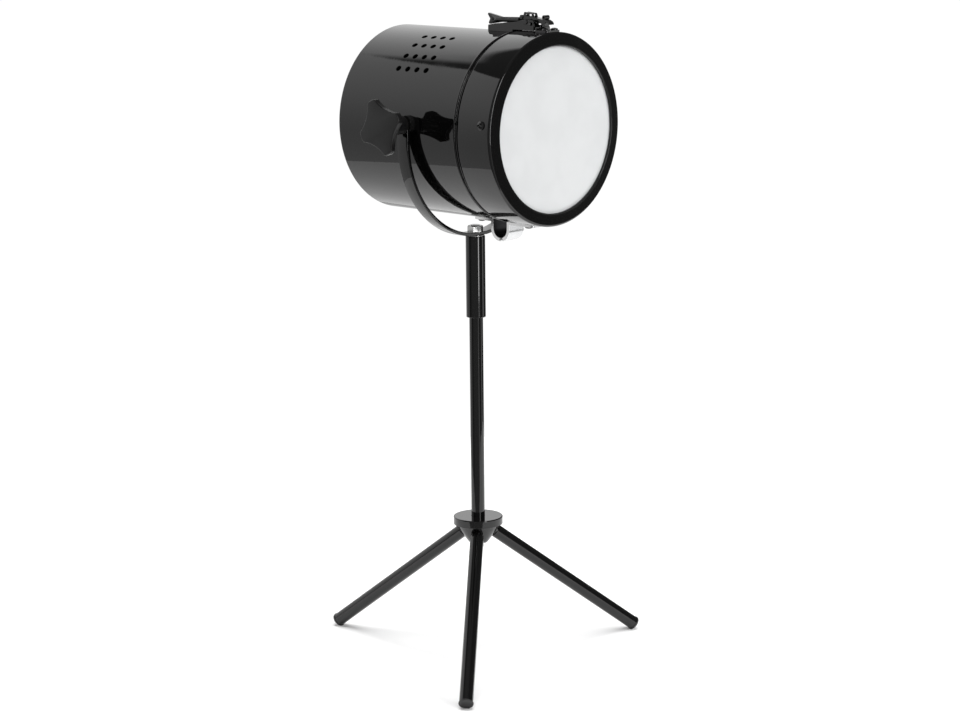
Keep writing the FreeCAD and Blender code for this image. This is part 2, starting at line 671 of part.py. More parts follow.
slope_sine = sine(size["leg_slope"])
slope_cosine = cosine(size["leg_slope"])
slope_tangent = slope_sine / slope_cosine
leg_radius = size["leg_diameter"] / 2
post_radius = size["post_diameter"] / 2
cone_top = size["hub_top"] - size["hub_rim"]
cone_foot = cone_top - (size["hub_shoulder"] - size["hub_nose"]) / slope_tangent
joint_height = cone_top - (size["hub_shoulder"] - size["hub_joint"]) / slope_tangent
foot_height = size["foot_radius"] * slope_cosine - size["foot_land"]
leg_reach = (joint_height - foot_height) / slope_sine
strap_under = size["head_height"] - size["yoke_drop"] - root(
    size["yoke_radius"] * size["yoke_radius"] - size["yoke_land"] * size["yoke_land"])
sleeve_top = strap_under - size["washer_thick"]
sleeve_foot = sleeve_top - size["sleeve_length"]
leg_azimuths = [size["leg_azimuth"].value + number * 360 / size["leg_count"].value
                for number in range(int(size["leg_count"].value))]


# Local frame of a leg: Z runs down the leg, Y is the upper side of the tube.
def leg_turn(azimuth):
    across = math.sin(math.radians(azimuth))
    ahead = -math.cos(math.radians(azimuth))
    down_leg = V(across * slope_cosine.value, ahead * slope_cosine.value, -slope_sine.value)
    upper = V(across * slope_sine.value, ahead * slope_sine.value, slope_cosine.value)
    return TURN(upper.cross(down_leg), upper, down_leg, "ZYX")


# A piece on a leg axis, a distance down the leg from the face of the hub cone.
def place_on_leg(item, azimuth, distance):
    radius = size["hub_joint"] + distance * slope_cosine
    place(item,
          size["post_x"] + radius * math.sin(math.radians(azimuth)),
          size["post_y"] - radius * math.cos(math.radians(azimuth)),
          joint_height - distance * slope_sine,
          leg_turn(azimuth))


def make_hub():
    socket_floor = size["hub_top"] - size["post_socket"]
    bolt_hole = size["hub_bolt_radius"] + size["easy"]
    body = turned_body("hub", [
        (bolt_hole, cone_foot),
        (size["hub_nose"], cone_foot),
        (size["hub_shoulder"], cone_top),
        (size["hub_radius"], cone_top),
        (size["hub_radius"], size["hub_top"] - size["hub_break"]),
        (size["hub_radius"] - size["hub_break"], size["hub_top"]),
        (post_radius + size["running"], size["hub_top"]),
        (post_radius + size["running"], socket_floor),
        (bolt_hole, socket_floor),
    ])
    # stud holes, square to the cone
    for number, azimuth in enumerate(leg_azimuths, start=1):
        hole = new_sketch(body, "stud_hole_%d" % number)
        turn = leg_turn(azimuth)
        start = V(size["hub_joint"].value * math.sin(math.radians(azimuth)),
                  -size["hub_joint"].value * math.cos(math.radians(azimuth)),
                  joint_height.value)
        hole.AttachmentOffset = FreeCAD.Placement(start, turn)
        draw_circle(hole, 0, 0, size["leg_stud_radius"])
        cut_to(body, hole, size["stud_depth"])
    place_on_post(body, 0)
    return keep(body, "hub")


def make_hub_bolt():
    washer_foot = cone_foot - size["hub_washer_thick"]
    washer = cylinder("hub_washer_disc", size["hub_nose"] - size["hub_washer_inset"],
                      size["hub_washer_thick"])
    place_on_post(washer, washer_foot)
    hole = cylinder("hub_washer_hole", size["hub_bolt_radius"] + size["easy"],
                    size["hub_washer_thick"])
    place_on_post(hole, washer_foot)
    keep(cut("hub_washer_cut", washer, hole), "hub_washer")
    head = hex_prism("hub_bolt_head", size["hub_bolt_flats"], size["hub_bolt_head"])
    place_on_post(head, washer_foot - size["hub_bolt_head"])
    shank = cylinder("hub_bolt_shank", size["hub_bolt_radius"],
                     size["hub_top"] - size["post_socket"] + size["hub_bolt_reach"] - cone_foot)
    place_on_post(shank, washer_foot)
    return keep(fuse("hub_bolt_fused", [head, shank]), "hub_bolt")


def make_post():
    post_foot = size["hub_top"] - size["post_socket"]
    post_top = sleeve_foot + size["sleeve_overlap"]
    post = tube_body("post_tube", post_radius, post_radius - size["post_wall"], post_top - post_foot)
    place_on_post(post, post_foot)
    keep(post, "post_tube")
    insert = tube_body("post_insert", post_radius - size["post_wall"], size["hub_bolt_radius"],
                       size["post_insert_length"])
    place_on_post(insert, post_foot)
    keep(insert, "post_insert")


def make_sleeve():
    sleeve_radius = size["sleeve_diameter"] / 2
    bore = post_radius + size["running"]
    sleeve = tube_body("sleeve", sleeve_radius, bore, size["sleeve_length"])
    place_on_post(sleeve, sleeve_foot)
    keep(sleeve, "sleeve")
    plug = tube_body("sleeve_plug", bore, size["bolt_radius"], size["sleeve_plug_length"])
    place_on_post(plug, sleeve_top - size["sleeve_plug_length"])
    keep(plug, "sleeve_plug")


def make_swivel():
    washer = tube_body("swivel_washer", size["washer_radius"],
                       size["bolt_radius"], size["washer_thick"])
    place_on_post(washer, sleeve_top)
    keep(washer, "swivel_washer")
    nut_foot = strap_under + size["strap_thick"]
    stud_foot = sleeve_top - size["sleeve_plug_length"]
    stud = rod_body("swivel_stud", size["bolt_radius"],
                    nut_foot + size["nut_height"] + size["stud_show"] - stud_foot)
    place_on_post(stud, stud_foot)
    keep(stud, "swivel_stud")
    blank = hex_prism("swivel_nut_blank", size["nut_flats"], size["nut_height"])
    place_on_post(blank, nut_foot, TURN(V(0, 0, 1), size["nut_turn"].value))
    hole = cylinder("swivel_nut_hole", size["bolt_radius"], size["nut_height"])
    place_on_post(hole, nut_foot)
    bevel = doc.addObject("Part::Cone", "swivel_nut_bevel")
    face_radius = size["nut_flats"] / 2 - size["nut_break"]
    bind(bevel, Radius1=face_radius + size["nut_break_run"], Radius2=face_radius,
         Height=size["nut_height"])
    place_on_post(bevel, nut_foot)
    chamfered = common("swivel_nut_chamfered", blank, bevel)
    keep(cut("swivel_nut_cut", chamfered, hole), "swivel_nut")


def make_leg(number, azimuth):
    tube = tube_body("leg_%d" % number, leg_radius, leg_radius - size["leg_wall"],
                     leg_reach - size["leg_gap"] - size["foot_lip"])
    place_on_leg(tube, azimuth, size["leg_gap"])
    keep(tube, "leg_%d" % number)

    insert = tube_body("leg_insert_%d" % number, leg_radius - size["leg_wall"],
                       size["leg_stud_radius"], size["leg_insert_length"])
    place_on_leg(insert, azimuth, size["leg_gap"])
    keep(insert, "leg_insert_%d" % number)

    stud = rod_body("leg_stud_%d" % number, size["leg_stud_radius"],
                    size["stud_depth"] + size["leg_gap"] + size["leg_insert_length"]
                    - size["stud_short"])
    place_on_leg(stud, azimuth, -size["stud_depth"])
    keep(stud, "leg_stud_%d" % number)


def make_foot_cap(number, azimuth):
    label = "foot_cap_%d" % number
    body = turned_body(label, [
        (0, 0),
        (size["foot_radius"] - size["foot_break"], 0),
        (size["foot_radius"], -size["foot_break"]),
        (size["foot_radius"], -size["foot_lip"]),
        (leg_radius - size["leg_wall"], -size["foot_lip"]),
        (leg_radius - size["leg_wall"], -size["foot_lip"] - size["foot_plug"]),
        (0, -size["foot_lip"] - size["foot_plug"]),
    ])
    # the floor, seen from the side of the leg: height = foot_height + y cos - z sin
    floor = new_sketch(body, label + "_floor", "YZ_Plane")
    outside = -size["foot_radius"] - size["spare"]
    draw_outline(floor, [
        ((slope_sine - foot_height) / slope_cosine, 1),
        (outside, 1),
        (outside, (foot_height + outside * slope_cosine) / slope_sine),
    ])
    cut_through(body, floor)
    place_on_leg(body, azimuth, leg_reach)
    keep(body, label)


# --- yoke ------------------------------------------------------------------------------------

yoke_inner = size["yoke_radius"] - size["strap_thick"]
strap_half = size["strap_width"] / 2
arm_top = size["pivot_rise"] + strap_half


def make_yoke():
    body = new_body("yoke_strap")
    bow = -size["yoke_drop"]
    outer_depth = root(size["yoke_radius"] * size["yoke_radius"]
                       - size["yoke_land"] * size["yoke_land"])
    inner_depth = outer_depth - size["strap_thick"]
    inner_land = root(yoke_inner * yoke_inner - inner_depth * inner_depth)
    sketch = new_sketch(body, "yoke_outline")
    draw_outline(sketch, [
        (size["yoke_radius"], arm_top),
        (size["yoke_radius"], bow),
        (size["yoke_land"], bow - outer_depth, (0, bow, "cw")),
        (-size["yoke_land"], bow - outer_depth),
        (-size["yoke_radius"], bow, (0, bow, "cw")),
        (-size["yoke_radius"], arm_top),
        (-yoke_inner, arm_top),
        (-yoke_inner, bow),
        (-inner_land, bow - inner_depth, (0, bow, "ccw")),
        (inner_land, bow - inner_depth),
        (yoke_inner, bow, (0, bow, "ccw")),
        (yoke_inner, arm_top),
    ])
    strap = pad(body, sketch, size["strap_width"], midplane=True)
    top = arm_top.value

    def at_arm_corner(edge):
        point = middle(edge)
        return abs(point.y - top) < TOUCH and abs(abs(point.z) - strap_half.value) < TOUCH

    round_edges(body, strap, strap_half - size["strap_end_land"], at_arm_corner)
    trunnions = new_sketch(body, "trunnion_holes", "YZ_Plane")
    draw_circle(trunnions, size["pivot_rise"], 0, size["bolt_radius"] + size["running"])
    cut_through(body, trunnions)
    swivel = new_sketch(body, "swivel_hole", "XZ_Plane")
    draw_circle(swivel, 0, 0, size["bolt_radius"] + size["running"])
    cut_through(body, swivel)
    place_in_head(body, 0, 0, 0)
    keep(body, "yoke_strap")


# --- drum ------------------------------------------------------------------------------------

drum_inner = size["drum_radius"] - size["drum_wall"]
cover_rear = size["drum_rear"] - size["drum_wall"]
cover_inside = cover_rear - size["cover_wall"] + size["cover_dish"]
rivet_places = (size["latch_rear"] + size["rivet_inset_rear"],
                size["latch_front"] - size["rivet_inset_front"])


def make_drum():
    corner = size["drum_corner"]
    outer = size["drum_radius"]
    rear = -size["drum_rear"]
    bead = size["bead_place"]
    body = turned_body("drum", [
        (outer - size["drum_flange"], rear),
        (outer - corner, rear),
        (outer, rear + corner, (outer - corner, rear + corner, "ccw")),
        (outer, bead - size["bead_radius"]),
        (outer, bead + size["bead_radius"], (outer, bead, "ccw")),
        (outer, size["drum_front"]),
        (drum_inner, size["drum_front"]),
        (drum_inner, rear + size["drum_wall"]),
        (outer - size["drum_flange"], rear + size["drum_wall"]),
    ])
    trunnions = new_sketch(body, "drum_trunnion_holes", "YZ_Plane")
    draw_circle(trunnions, size["pivot_rise"], 0, size["bolt_radius"] + size["easy"])
    cut_through(body, trunnions)

    screws = new_sketch(body, "drum_hinge_holes", "XZ_Plane")
    for side in (-1, 1):
        draw_circle(screws, side * size["leaf_screw_spread"], size["leaf_screw_rear"],
                    size["screw_radius"] + size["easy"])
    cut_to(body, screws, outer + size["spare"], reverse=True)

    rivets = new_sketch(body, "drum_rivet_holes", "XZ_Plane")
    for ahead in rivet_places:
        draw_circle(rivets, 0, ahead, size["rivet_radius"])
    cut_to(body, rivets, outer + size["spare"])

    flange = new_sketch(body, "drum_flange_hole")
    draw_circle(flange, 0, size["cover_screw_circle"], size["screw_radius"] + size["easy"])
    one = cut_to(body, flange, size["drum_rear"] + size["spare"])
    repeat_round(body, one, size["cover_screw_count"])

    for name, side in (("left", -1), ("right", 1)):
        vents = new_sketch(body, "vents_" + name, "XZ_Plane", turn=-side * size["vent_angle"])
        for number in range(int(size["vent_holes"].value)):
            draw_circle(vents, 0, number * size["vent_pitch"] - size["vent_rear"],
                        size["vent_radius"])
        row = cut_to(body, vents, outer + size["spare"])
        rows = repeat_round(body, row, size["vent_rows"],
                            size["vent_step"] * (size["vent_rows"] - 1))
        rows.Reversed = side > 0
    place_in_head(body, 0, 0, 0)
    keep(body, "drum")


def make_collar():
    outer = drum_inner - size["seat"]
    body = tube_body("front_collar", outer, outer - size["drum_wall"],
                     size["collar_end"] - size["collar_start"])
    place_in_head(body, 0, size["collar_start"], 0)
    keep(body, "front_collar")


def make_rear_cover():
    wall = size["cover_wall"]
    dish = size["cover_dish"]
    rim = size["dish_radius"]
    body = turned_body("rear_cover", [
        (0, cover_rear + dish),
        (rim - dish, cover_rear + dish),
        (rim, cover_rear),
        (size["cover_radius"], cover_rear),
        (size["cover_radius"], cover_rear - wall),
        (rim, cover_rear - wall),
        (rim - dish, cover_rear + dish - wall),
        (0, cover_rear + dish - wall),
    ])
    inlet = new_sketch(body, "inlet_hole")
    draw_circle(inlet, 0, size["gland_drop"], size["gland_radius"])
    cut_to(body, inlet, size["drum_rear"] + 2 * size["spare"], reverse=True)
    feet = new_sketch(body, "bracket_holes")
    for side in (-1, 1):
        draw_circle(feet, 0, side * bracket_screw, size["screw_radius"])
    cut_to(body, feet, size["drum_rear"] + 2 * size["spare"], reverse=True)
    rim_hole = new_sketch(body, "cover_screw_hole")
    draw_circle(rim_hole, 0, -size["cover_screw_circle"], size["screw_radius"])
    one = cut_to(body, rim_hole, size["drum_rear"] + 2 * size["spare"], reverse=True)
    repeat_round(body, one, size["cover_screw_count"])
    place_in_head(body, 0, 0, 0, BACK)
    keep(body, "rear_cover")


# A pan-head screw that lies along local Z: head from 0 to minus its height, shank from 0 up.
def screw(name, shank, radius=size["screw_radius"], head_radius=size["screw_head"],
          head_height=size["screw_head_height"]):
    head = cylinder(name + "_head", head_radius, head_height)
    place(head, 0, 0, -head_height)
    thread = cylinder(name + "_shank", radius, shank)
    place(thread, 0, 0, -size["screw_root"])
    return fuse(name, [head, thread])


def make_cover_screws():
    screws = []
    count = int(size["cover_screw_count"].value)
    shank = size["drum_wall"] + size["cover_wall"] + size["cover_screw_reach"]
    for number in range(count):
        angle = math.radians(360 * number / count)
        item = screw("cover_screw_%d" % (number + 1), shank)
        place_in_head(item, size["cover_screw_circle"] * math.sin(angle), -size["drum_rear"],
                      size["cover_screw_circle"] * math.cos(angle), FRONT)
        screws.append(item)
    keep(group("cover_screws", screws), "rear_cover_screws")


def make_gland():
    flange_start = cover_inside - size["gland_flange_thick"]
    end = cover_inside + size["cover_wall"] + size["gland_reach"]
    body = turned_body("cable_gland", [
        (size["gland_bore"] + size["gland_mouth"], flange_start),
        (size["gland_flange"], flange_start),
        (size["gland_flange"], cover_inside),
        (size["gland_radius"], cover_inside),
        (size["gland_radius"], end - size["gland_nose"]),
        (size["gland_bore"] + size["gland_rim"], end),
        (size["gland_bore"], end),
        (size["gland_bore"], cover_inside),
    ])
    place_in_head(body, 0, 0, -size["gland_drop"], BACK)
    keep(body, "cable_gland")


# --- lampholder and lamp ---------------------------------------------------------------------

bracket_screw = size["bracket_half"] + size["bracket_foot"] / 2


def make_bracket():
    wall = size["bracket_wall"]
    half = size["bracket_half"]
    tip = size["bracket_tip"]
    bridge = size["holder_rear"]
    body = new_body("holder_bracket")
    sketch = new_sketch(body, "bracket_outline")
    draw_outline(sketch, [
        (cover_inside, tip),
        (cover_inside, half),
        (bridge + wall, half),
        (bridge + wall, -half),
        (cover_inside, -half),
        (cover_inside, -tip),
        (cover_inside - wall, -tip),
        (cover_inside - wall, -half - wall),
        (bridge, -half - wall),
        (bridge, half + wall),
        (cover_inside - wall, half + wall),
        (cover_inside - wall, tip),
    ])
    pad(body, sketch, size["bracket_width"], midplane=True)
    holes = new_sketch(body, "bracket_hole_row", "YZ_Plane")
    draw_circle(holes, 0, 0, size["nipple_radius"])
    for side in (-1, 1):
        draw_circle(holes, side * bracket_screw, 0, size["screw_radius"])
    cut_through(body, holes)
    place_in_head(body, 0, 0, 0, SIDE)
    keep(body, "holder_bracket")

    shank = size["cover_wall"] + wall + size["bracket_screw_reach"]
    screws = []
    for number, side in enumerate((-1, 1), start=1):
        item = screw("bracket_screw_%d" % number, shank)
        place_in_head(item, 0, -(cover_inside + size["cover_wall"]), side * bracket_screw, FRONT)
        screws.append(item)
    keep(group("bracket_screw_pair", screws), "bracket_screws")


def make_lampholder():
    rear = -size["holder_rear"]
    floor = rear + size["holder_floor"]
    front = rear + size["holder_length"]
    rim = size["holder_rim"]
    rim_rear = front - size["holder_rim_length"]
    body = turned_body("lampholder", [
        (size["nipple_radius"], rear),
        (size["holder_radius"] - size["holder_shoulder"], rear),
        (size["holder_radius"], rear + size["holder_shoulder_length"]),
        (size["holder_radius"], rim_rear),
        (size["holder_radius"] + rim, rim_rear + rim),
        (size["holder_radius"] + rim, front - 2 * rim),
        (size["holder_radius"] - size["holder_break"], front),
        (size["holder_bore"], front),
        (size["holder_bore"], floor),
        (size["nipple_radius"], floor),
    ])
    place_in_head(body, 0, 0, 0)
    keep(body, "lampholder")

    shell = tube_body("screw_shell", size["holder_bore"], size["holder_bore"] - size["shell_wall"],
                      size["shell_length"])
    place_in_head(shell, 0, floor, 0)
    keep(shell, "screw_shell")

    nipple = tube_body("nipple", size["nipple_radius"], size["nipple_radius"] - size["nipple_wall"],
                       size["nipple_length"])
    place_in_head(nipple, 0, rear - size["nipple_show"], 0)
    nut_place = rear - size["bracket_wall"] - size["nipple_nut_height"]
    nut_blank = hex_prism("nipple_nut_blank", size["nipple_nut_flats"], size["nipple_nut_height"])
    place_in_head(nut_blank, 0, nut_place, 0)
    nut_hole = cylinder("nipple_nut_hole", size["nipple_radius"], size["nipple_nut_height"])
    place_in_head(nut_hole, 0, nut_place, 0)
    nut = cut("nipple_nut", nut_blank, nut_hole)
    contact = cylinder("centre_contact", size["contact_radius"], size["contact_thick"])
    place_in_head(contact, 0, rear + size["contact_set"], 0)
    keep(group("nipple_and_nut", [nipple, nut, contact]), "holder_nipple")


def make_lamp():
    floor = -size["holder_rear"] + size["holder_floor"]
    cap_front = floor + size["cap_length"]
    neck_foot = cap_front - size["neck_inside"]
    shoulder = floor + size["cap_shoulder_rise"]
    cap = turned_body("bulb_cap", [
        (0, floor + size["cap_clear"]),
        (size["cap_button"], floor + size["cap_clear"]),
        (size["cap_throat"], floor + size["cap_throat_rise"]),
        (size["cap_radius"] - size["cap_shoulder"], shoulder - size["cap_shoulder"]),
        (size["cap_radius"], shoulder),
        (size["cap_radius"], cap_front),
        (size["bulb_neck"], cap_front),
        (size["bulb_neck"], neck_foot),
        (0, neck_foot),
    ])
    place_in_head(cap, 0, 0, 0)
    keep(cap, "bulb_cap")

    # round end and tapering neck
    angle = size["neck_angle"]
    centre = size["bulb_centre"]
    outer = size["bulb_radius"]
    inner = outer - size["bulb_wall"]
    neck_inner = size["bulb_neck"] - size["bulb_wall"]
    taper_end = cap_front + size["neck_outside"]
    glass = turned_body("bulb_glass", [
        (size["bulb_neck"], neck_foot),
        (size["bulb_neck"], taper_end),
        (outer * cosine(angle), centre - outer * sine(angle)),
        (0, centre + outer, (0, centre, "ccw")),
        (0, centre + inner),
        (inner * cosine(angle), centre - inner * sine(angle), (0, centre, "cw")),
        (neck_inner, taper_end),
        (neck_inner, neck_foot),
    ])
    place_in_head(glass, 0, 0, 0)
    keep(glass, "bulb_glass")


# --- tilt axis -------------------------------------------------------------------------------

def make_trunnion(side_name, side):
    turn = TO_RIGHT if side > 0 else TO_LEFT
    bore = size["bolt_radius"] + size["running"]

    blank = cylinder("spacer_blank_" + side_name, size["pivot_nut_radius"], yoke_inner - size["seat"])
    place_in_head(blank, 0, 0, size["pivot_rise"], turn)
    span = size["pivot_nut_radius"] * 4
    inside = cylinder("spacer_drum_" + side_name, size["drum_radius"] + size["seat"], span)
    place_in_head(inside, 0, span / 2, 0, BACK)
    shell = cut("spacer_shell_" + side_name, blank, inside)
    hole = cylinder("spacer_hole_" + side_name, bore, yoke_inner + size["spare"])
    place_in_head(hole, 0, 0, size["pivot_rise"], turn)
    keep(cut("spacer_" + side_name, shell, hole), "trunnion_spacer_" + side_name)

    nut_start = drum_inner - size["pivot_nut_depth"]
    nut_blank = cylinder("nut_blank_" + side_name, size["pivot_nut_radius"],
                         size["pivot_nut_depth"] + size["spare"])
    place_in_head(nut_blank, side * nut_start, 0, size["pivot_rise"], turn)
    room = cylinder("nut_room_" + side_name, drum_inner - size["seat"], span)
    place_in_head(room, 0, span / 2, 0, BACK)
    trimmed = common("nut_trimmed_" + side_name, nut_blank, room)
    thread = cylinder("nut_thread_" + side_name, bore, size["pivot_nut_depth"] + size["spare"])
    place_in_head(thread, side * nut_start, 0, size["pivot_rise"], turn)
    keep(cut("nut_" + side_name, trimmed, thread), "trunnion_nut_" + side_name)

    stud_end = size["knob_face"] - size["knob_thick"] - size["stud_set"]
    stud_start = nut_start + size["stud_inset"]
    stud = rod_body("knob_stud_" + side_name, size["bolt_radius"], stud_end - stud_start)
    place_in_head(stud, side * stud_start, 0, size["pivot_rise"], turn)
    keep(stud, "knob_stud_" + side_name)
    make_knob(side_name, side, turn, stud_end)


def make_knob(side_name, side, turn, stud_end):
    boss_end = size["yoke_radius"] + size["knob_gap"]
    plate_start = size["knob_face"] - size["knob_thick"]
    body = new_body("knob_" + side_name)
    disc = new_sketch(body, "knob_disc_" + side_name, lift=plate_start)
    draw_circle(disc, 0, 0, size["knob_radius"])
    plate = pad(body, disc, size["knob_thick"])
    hollow = new_sketch(body, "knob_hollow_" + side_name, lift=plate_start)
    draw_circle(hollow, size["knob_waist"] + size["knob_scallop"], 0, size["knob_scallop"])
    scallop = cut_to(body, hollow, size["knob_thick"] + size["spare"], reverse=True)
    star = repeat_round(body, scallop, size["knob_lobes"])

    def upright(edge):
        return len(edge.Vertexes) == 2 and abs(edge.Vertexes[0].Z - edge.Vertexes[1].Z) > 1

    lobes = round_edges(body, star, size["knob_round"], upright)
    face = size["knob_face"].value
    lobes = round_edges(body, lobes, size["knob_edge"], lambda edge: abs(middle(edge).z - face) < TOUCH)
    stem = new_sketch(body, "knob_boss_" + side_name, lift=boss_end)
    draw_circle(stem, 0, 0, size["knob_boss"])
    pad(body, stem, plate_start - boss_end)
    socket = new_sketch(body, "knob_socket_" + side_name, lift=boss_end)
    draw_circle(socket, 0, 0, size["bolt_radius"])
    cut_to(body, socket, stud_end - boss_end, reverse=True)
    lobe_turn = -side * (size["knob_turn"].value + 180 / size["knob_lobes"].value)
    place_in_head(body, 0, 0, size["pivot_rise"], turn.multiply(TURN(V(0, 0, 1), lobe_turn)))
    keep(body, "knob_" + side_name)


# --- front door ------------------------------------------------------------------------------

bezel_inner = size["bezel_radius"] - size["bezel_wall"]
glass_front = size["bezel_front"] - size["bezel_lip"]
glass_rear = glass_front - size["glass_thick"]
ring_outer = bezel_inner - size["easy"]


def bezel_screw_angles():
    count = int(size["bezel_screw_count"].value)
    return [size["bezel_screw_angle"].value + 360 * number / count for number in range(count)]


def make_bezel():
    outer = size["bezel_radius"]
    wall = size["bezel_wall"]
    hem = size["bezel_hem"]
    rear = size["bezel_rear"]
    front = size["bezel_front"]
    corner = size["bezel_corner"]
    shoulder = front - size["bezel_crown"]
    mouth = size["opening_radius"]
    nose = size["bezel_nose"]
    body = turned_body("bezel", [
        (bezel_inner, rear),
        (outer - hem, rear),
        (outer, rear + hem, (outer - hem, rear + hem, "ccw")),
        (outer, shoulder - corner),
        (outer - corner, shoulder, (outer - corner, shoulder - corner, "ccw")),
        (mouth + nose, front),
        (mouth, front - nose, (mouth + nose, front - nose, "ccw")),
        (mouth, glass_front),
        (mouth + wall, glass_front),
        (mouth + wall, front - wall - size["bezel_draw"]),
        (outer - corner, shoulder - wall),
        (bezel_inner, shoulder - corner),
    ])
    screws = new_sketch(body, "bezel_screw_hole", "XZ_Plane",
                        turn=size["bezel_screw_angle"])
    draw_circle(screws, 0, size["bezel_screw_place"], size["screw_radius"])
    one = cut_to(body, screws, outer + size["spare"])
    repeat_round(body, one, size["bezel_screw_count"])
    leaf = new_sketch(body, "bezel_leaf_holes", "XZ_Plane")
    for side in (-1, 1):
        draw_circle(leaf, side * size["leaf_screw_spread"], size["leaf_screw_front"],
                    size["screw_radius"])
    cut_to(body, leaf, outer + size["spare"], reverse=True)
    catch = new_sketch(body, "bezel_keeper_holes", "XZ_Plane")
    for side in (-1, 1):
        draw_circle(catch, side * size["keeper_screw_spread"], size["keeper_screw_place"],
                    size["keeper_screw_radius"])
    cut_to(body, catch, outer + size["spare"])
    place_in_head(body, 0, 0, 0)
    keep(body, "bezel")


def make_diffuser():
    body = turned_body("diffuser", [
        (0, glass_rear),
        (size["glass_radius"], glass_rear),
        (size["glass_radius"], glass_front),
        (0, glass_front),
    ])
    place_in_head(body, 0, 0, 0)
    keep(body, "diffuser")


def make_retaining_ring():
    wall = size["ring_wall"]
    body = turned_body("retaining_ring", [
        (size["ring_inner"], glass_rear - wall),
        (ring_outer - wall, glass_rear - wall),
        (ring_outer - wall, glass_rear - size["ring_depth"]),
        (ring_outer, glass_rear - size["ring_depth"]),
        (ring_outer, glass_rear),
        (size["ring_inner"], glass_rear),
    ])
    screws = new_sketch(body, "ring_screw_hole", "XZ_Plane",
                        turn=size["bezel_screw_angle"])
    draw_circle(screws, 0, size["bezel_screw_place"], size["screw_radius"])
    one = cut_to(body, screws, size["bezel_radius"])
    repeat_round(body, one, size["bezel_screw_count"])
    place_in_head(body, 0, 0, 0)
    keep(body, "retaining_ring")


def make_bezel_screws():
    screws = []
    for number, angle in enumerate(bezel_screw_angles(), start=1):
        item = screw("bezel_screw_%d" % number, size["bezel_screw_length"])
        across = -math.sin(math.radians(angle))
        up = math.cos(math.radians(angle))
        inwards = V(-across, 0, -up)
        place_in_head(item, size["bezel_radius"] * across, size["bezel_screw_place"],
                      size["bezel_radius"] * up, TURN(V(0, 0, 1), inwards))
        screws.append(item)
    keep(group("bezel_screw_set", screws), "bezel_screws")


# --- hinge -----------------------------------------------------------------------------------

pin_up = -size["hinge_drop"]
knuckle = size["hinge_thick"] / 2
bow_foot = pin_up - knuckle
bow_centre = bow_foot + size["hinge_bow"]
bow_inner = size["hinge_bow"] - size["hinge_thick"]


# One leaf: a flange under the sheet, a bow down to the pin and its share of the knuckles.
# Local X runs rearwards from the light, so the drum leaf has side 1 and the door leaf side -1.
def make_leaf(label, side, flange_end, seat_radius, screw_place, screw_hole):
    pin_place = -size["hinge_place"]
    thick = size["hinge_thick"]
    flange_foot = -seat_radius - size["leaf_thick"]
    into, back = ("ccw", "cw") if side > 0 else ("cw", "ccw")
    body = new_body(label)
    sketch = new_sketch(body, label + "_outline")
    draw_outline(sketch, [
        (pin_place, bow_foot),
        (pin_place + side * size["hinge_bow"], bow_centre, (pin_place, bow_centre, into)),
        (pin_place + side * size["hinge_bow"], flange_foot),
        (flange_end, flange_foot),
        (flange_end, -seat_radius + size["seat_depth"]),
        (pin_place + side * bow_inner, -seat_radius + size["seat_depth"]),
        (pin_place + side * bow_inner, bow_centre),
        (pin_place, bow_foot + thick, (pin_place, bow_centre, back)),
    ])
    strip = pad(body, sketch, size["hinge_width"], midplane=True)
    end = flange_end.value

    def at_free_corner(edge):
        point = middle(edge)
        upright = abs(edge.Vertexes[0].Y - edge.Vertexes[1].Y) > 1
        return upright and abs(point.x - end) < TOUCH

    round_edges(body, strip, size["leaf_corner"], at_free_corner)
    seat = new_sketch(body, label + "_seat", "YZ_Plane")
    draw_circle(seat, 0, 0, seat_radius + size["seat"])
    cut_through(body, seat)
    holes = new_sketch(body, label + "_holes", "XZ_Plane")
    for half in (-1, 1):
        draw_circle(holes, -screw_place, half * size["leaf_screw_spread"], screw_hole)
    cut_through(body, holes)
    return body


def draw_knuckle(body, name, radius, lift=None):
    sketch = new_sketch(body, name, lift=lift)
    draw_circle(sketch, -size["hinge_place"], pin_up, radius)
    return sketch


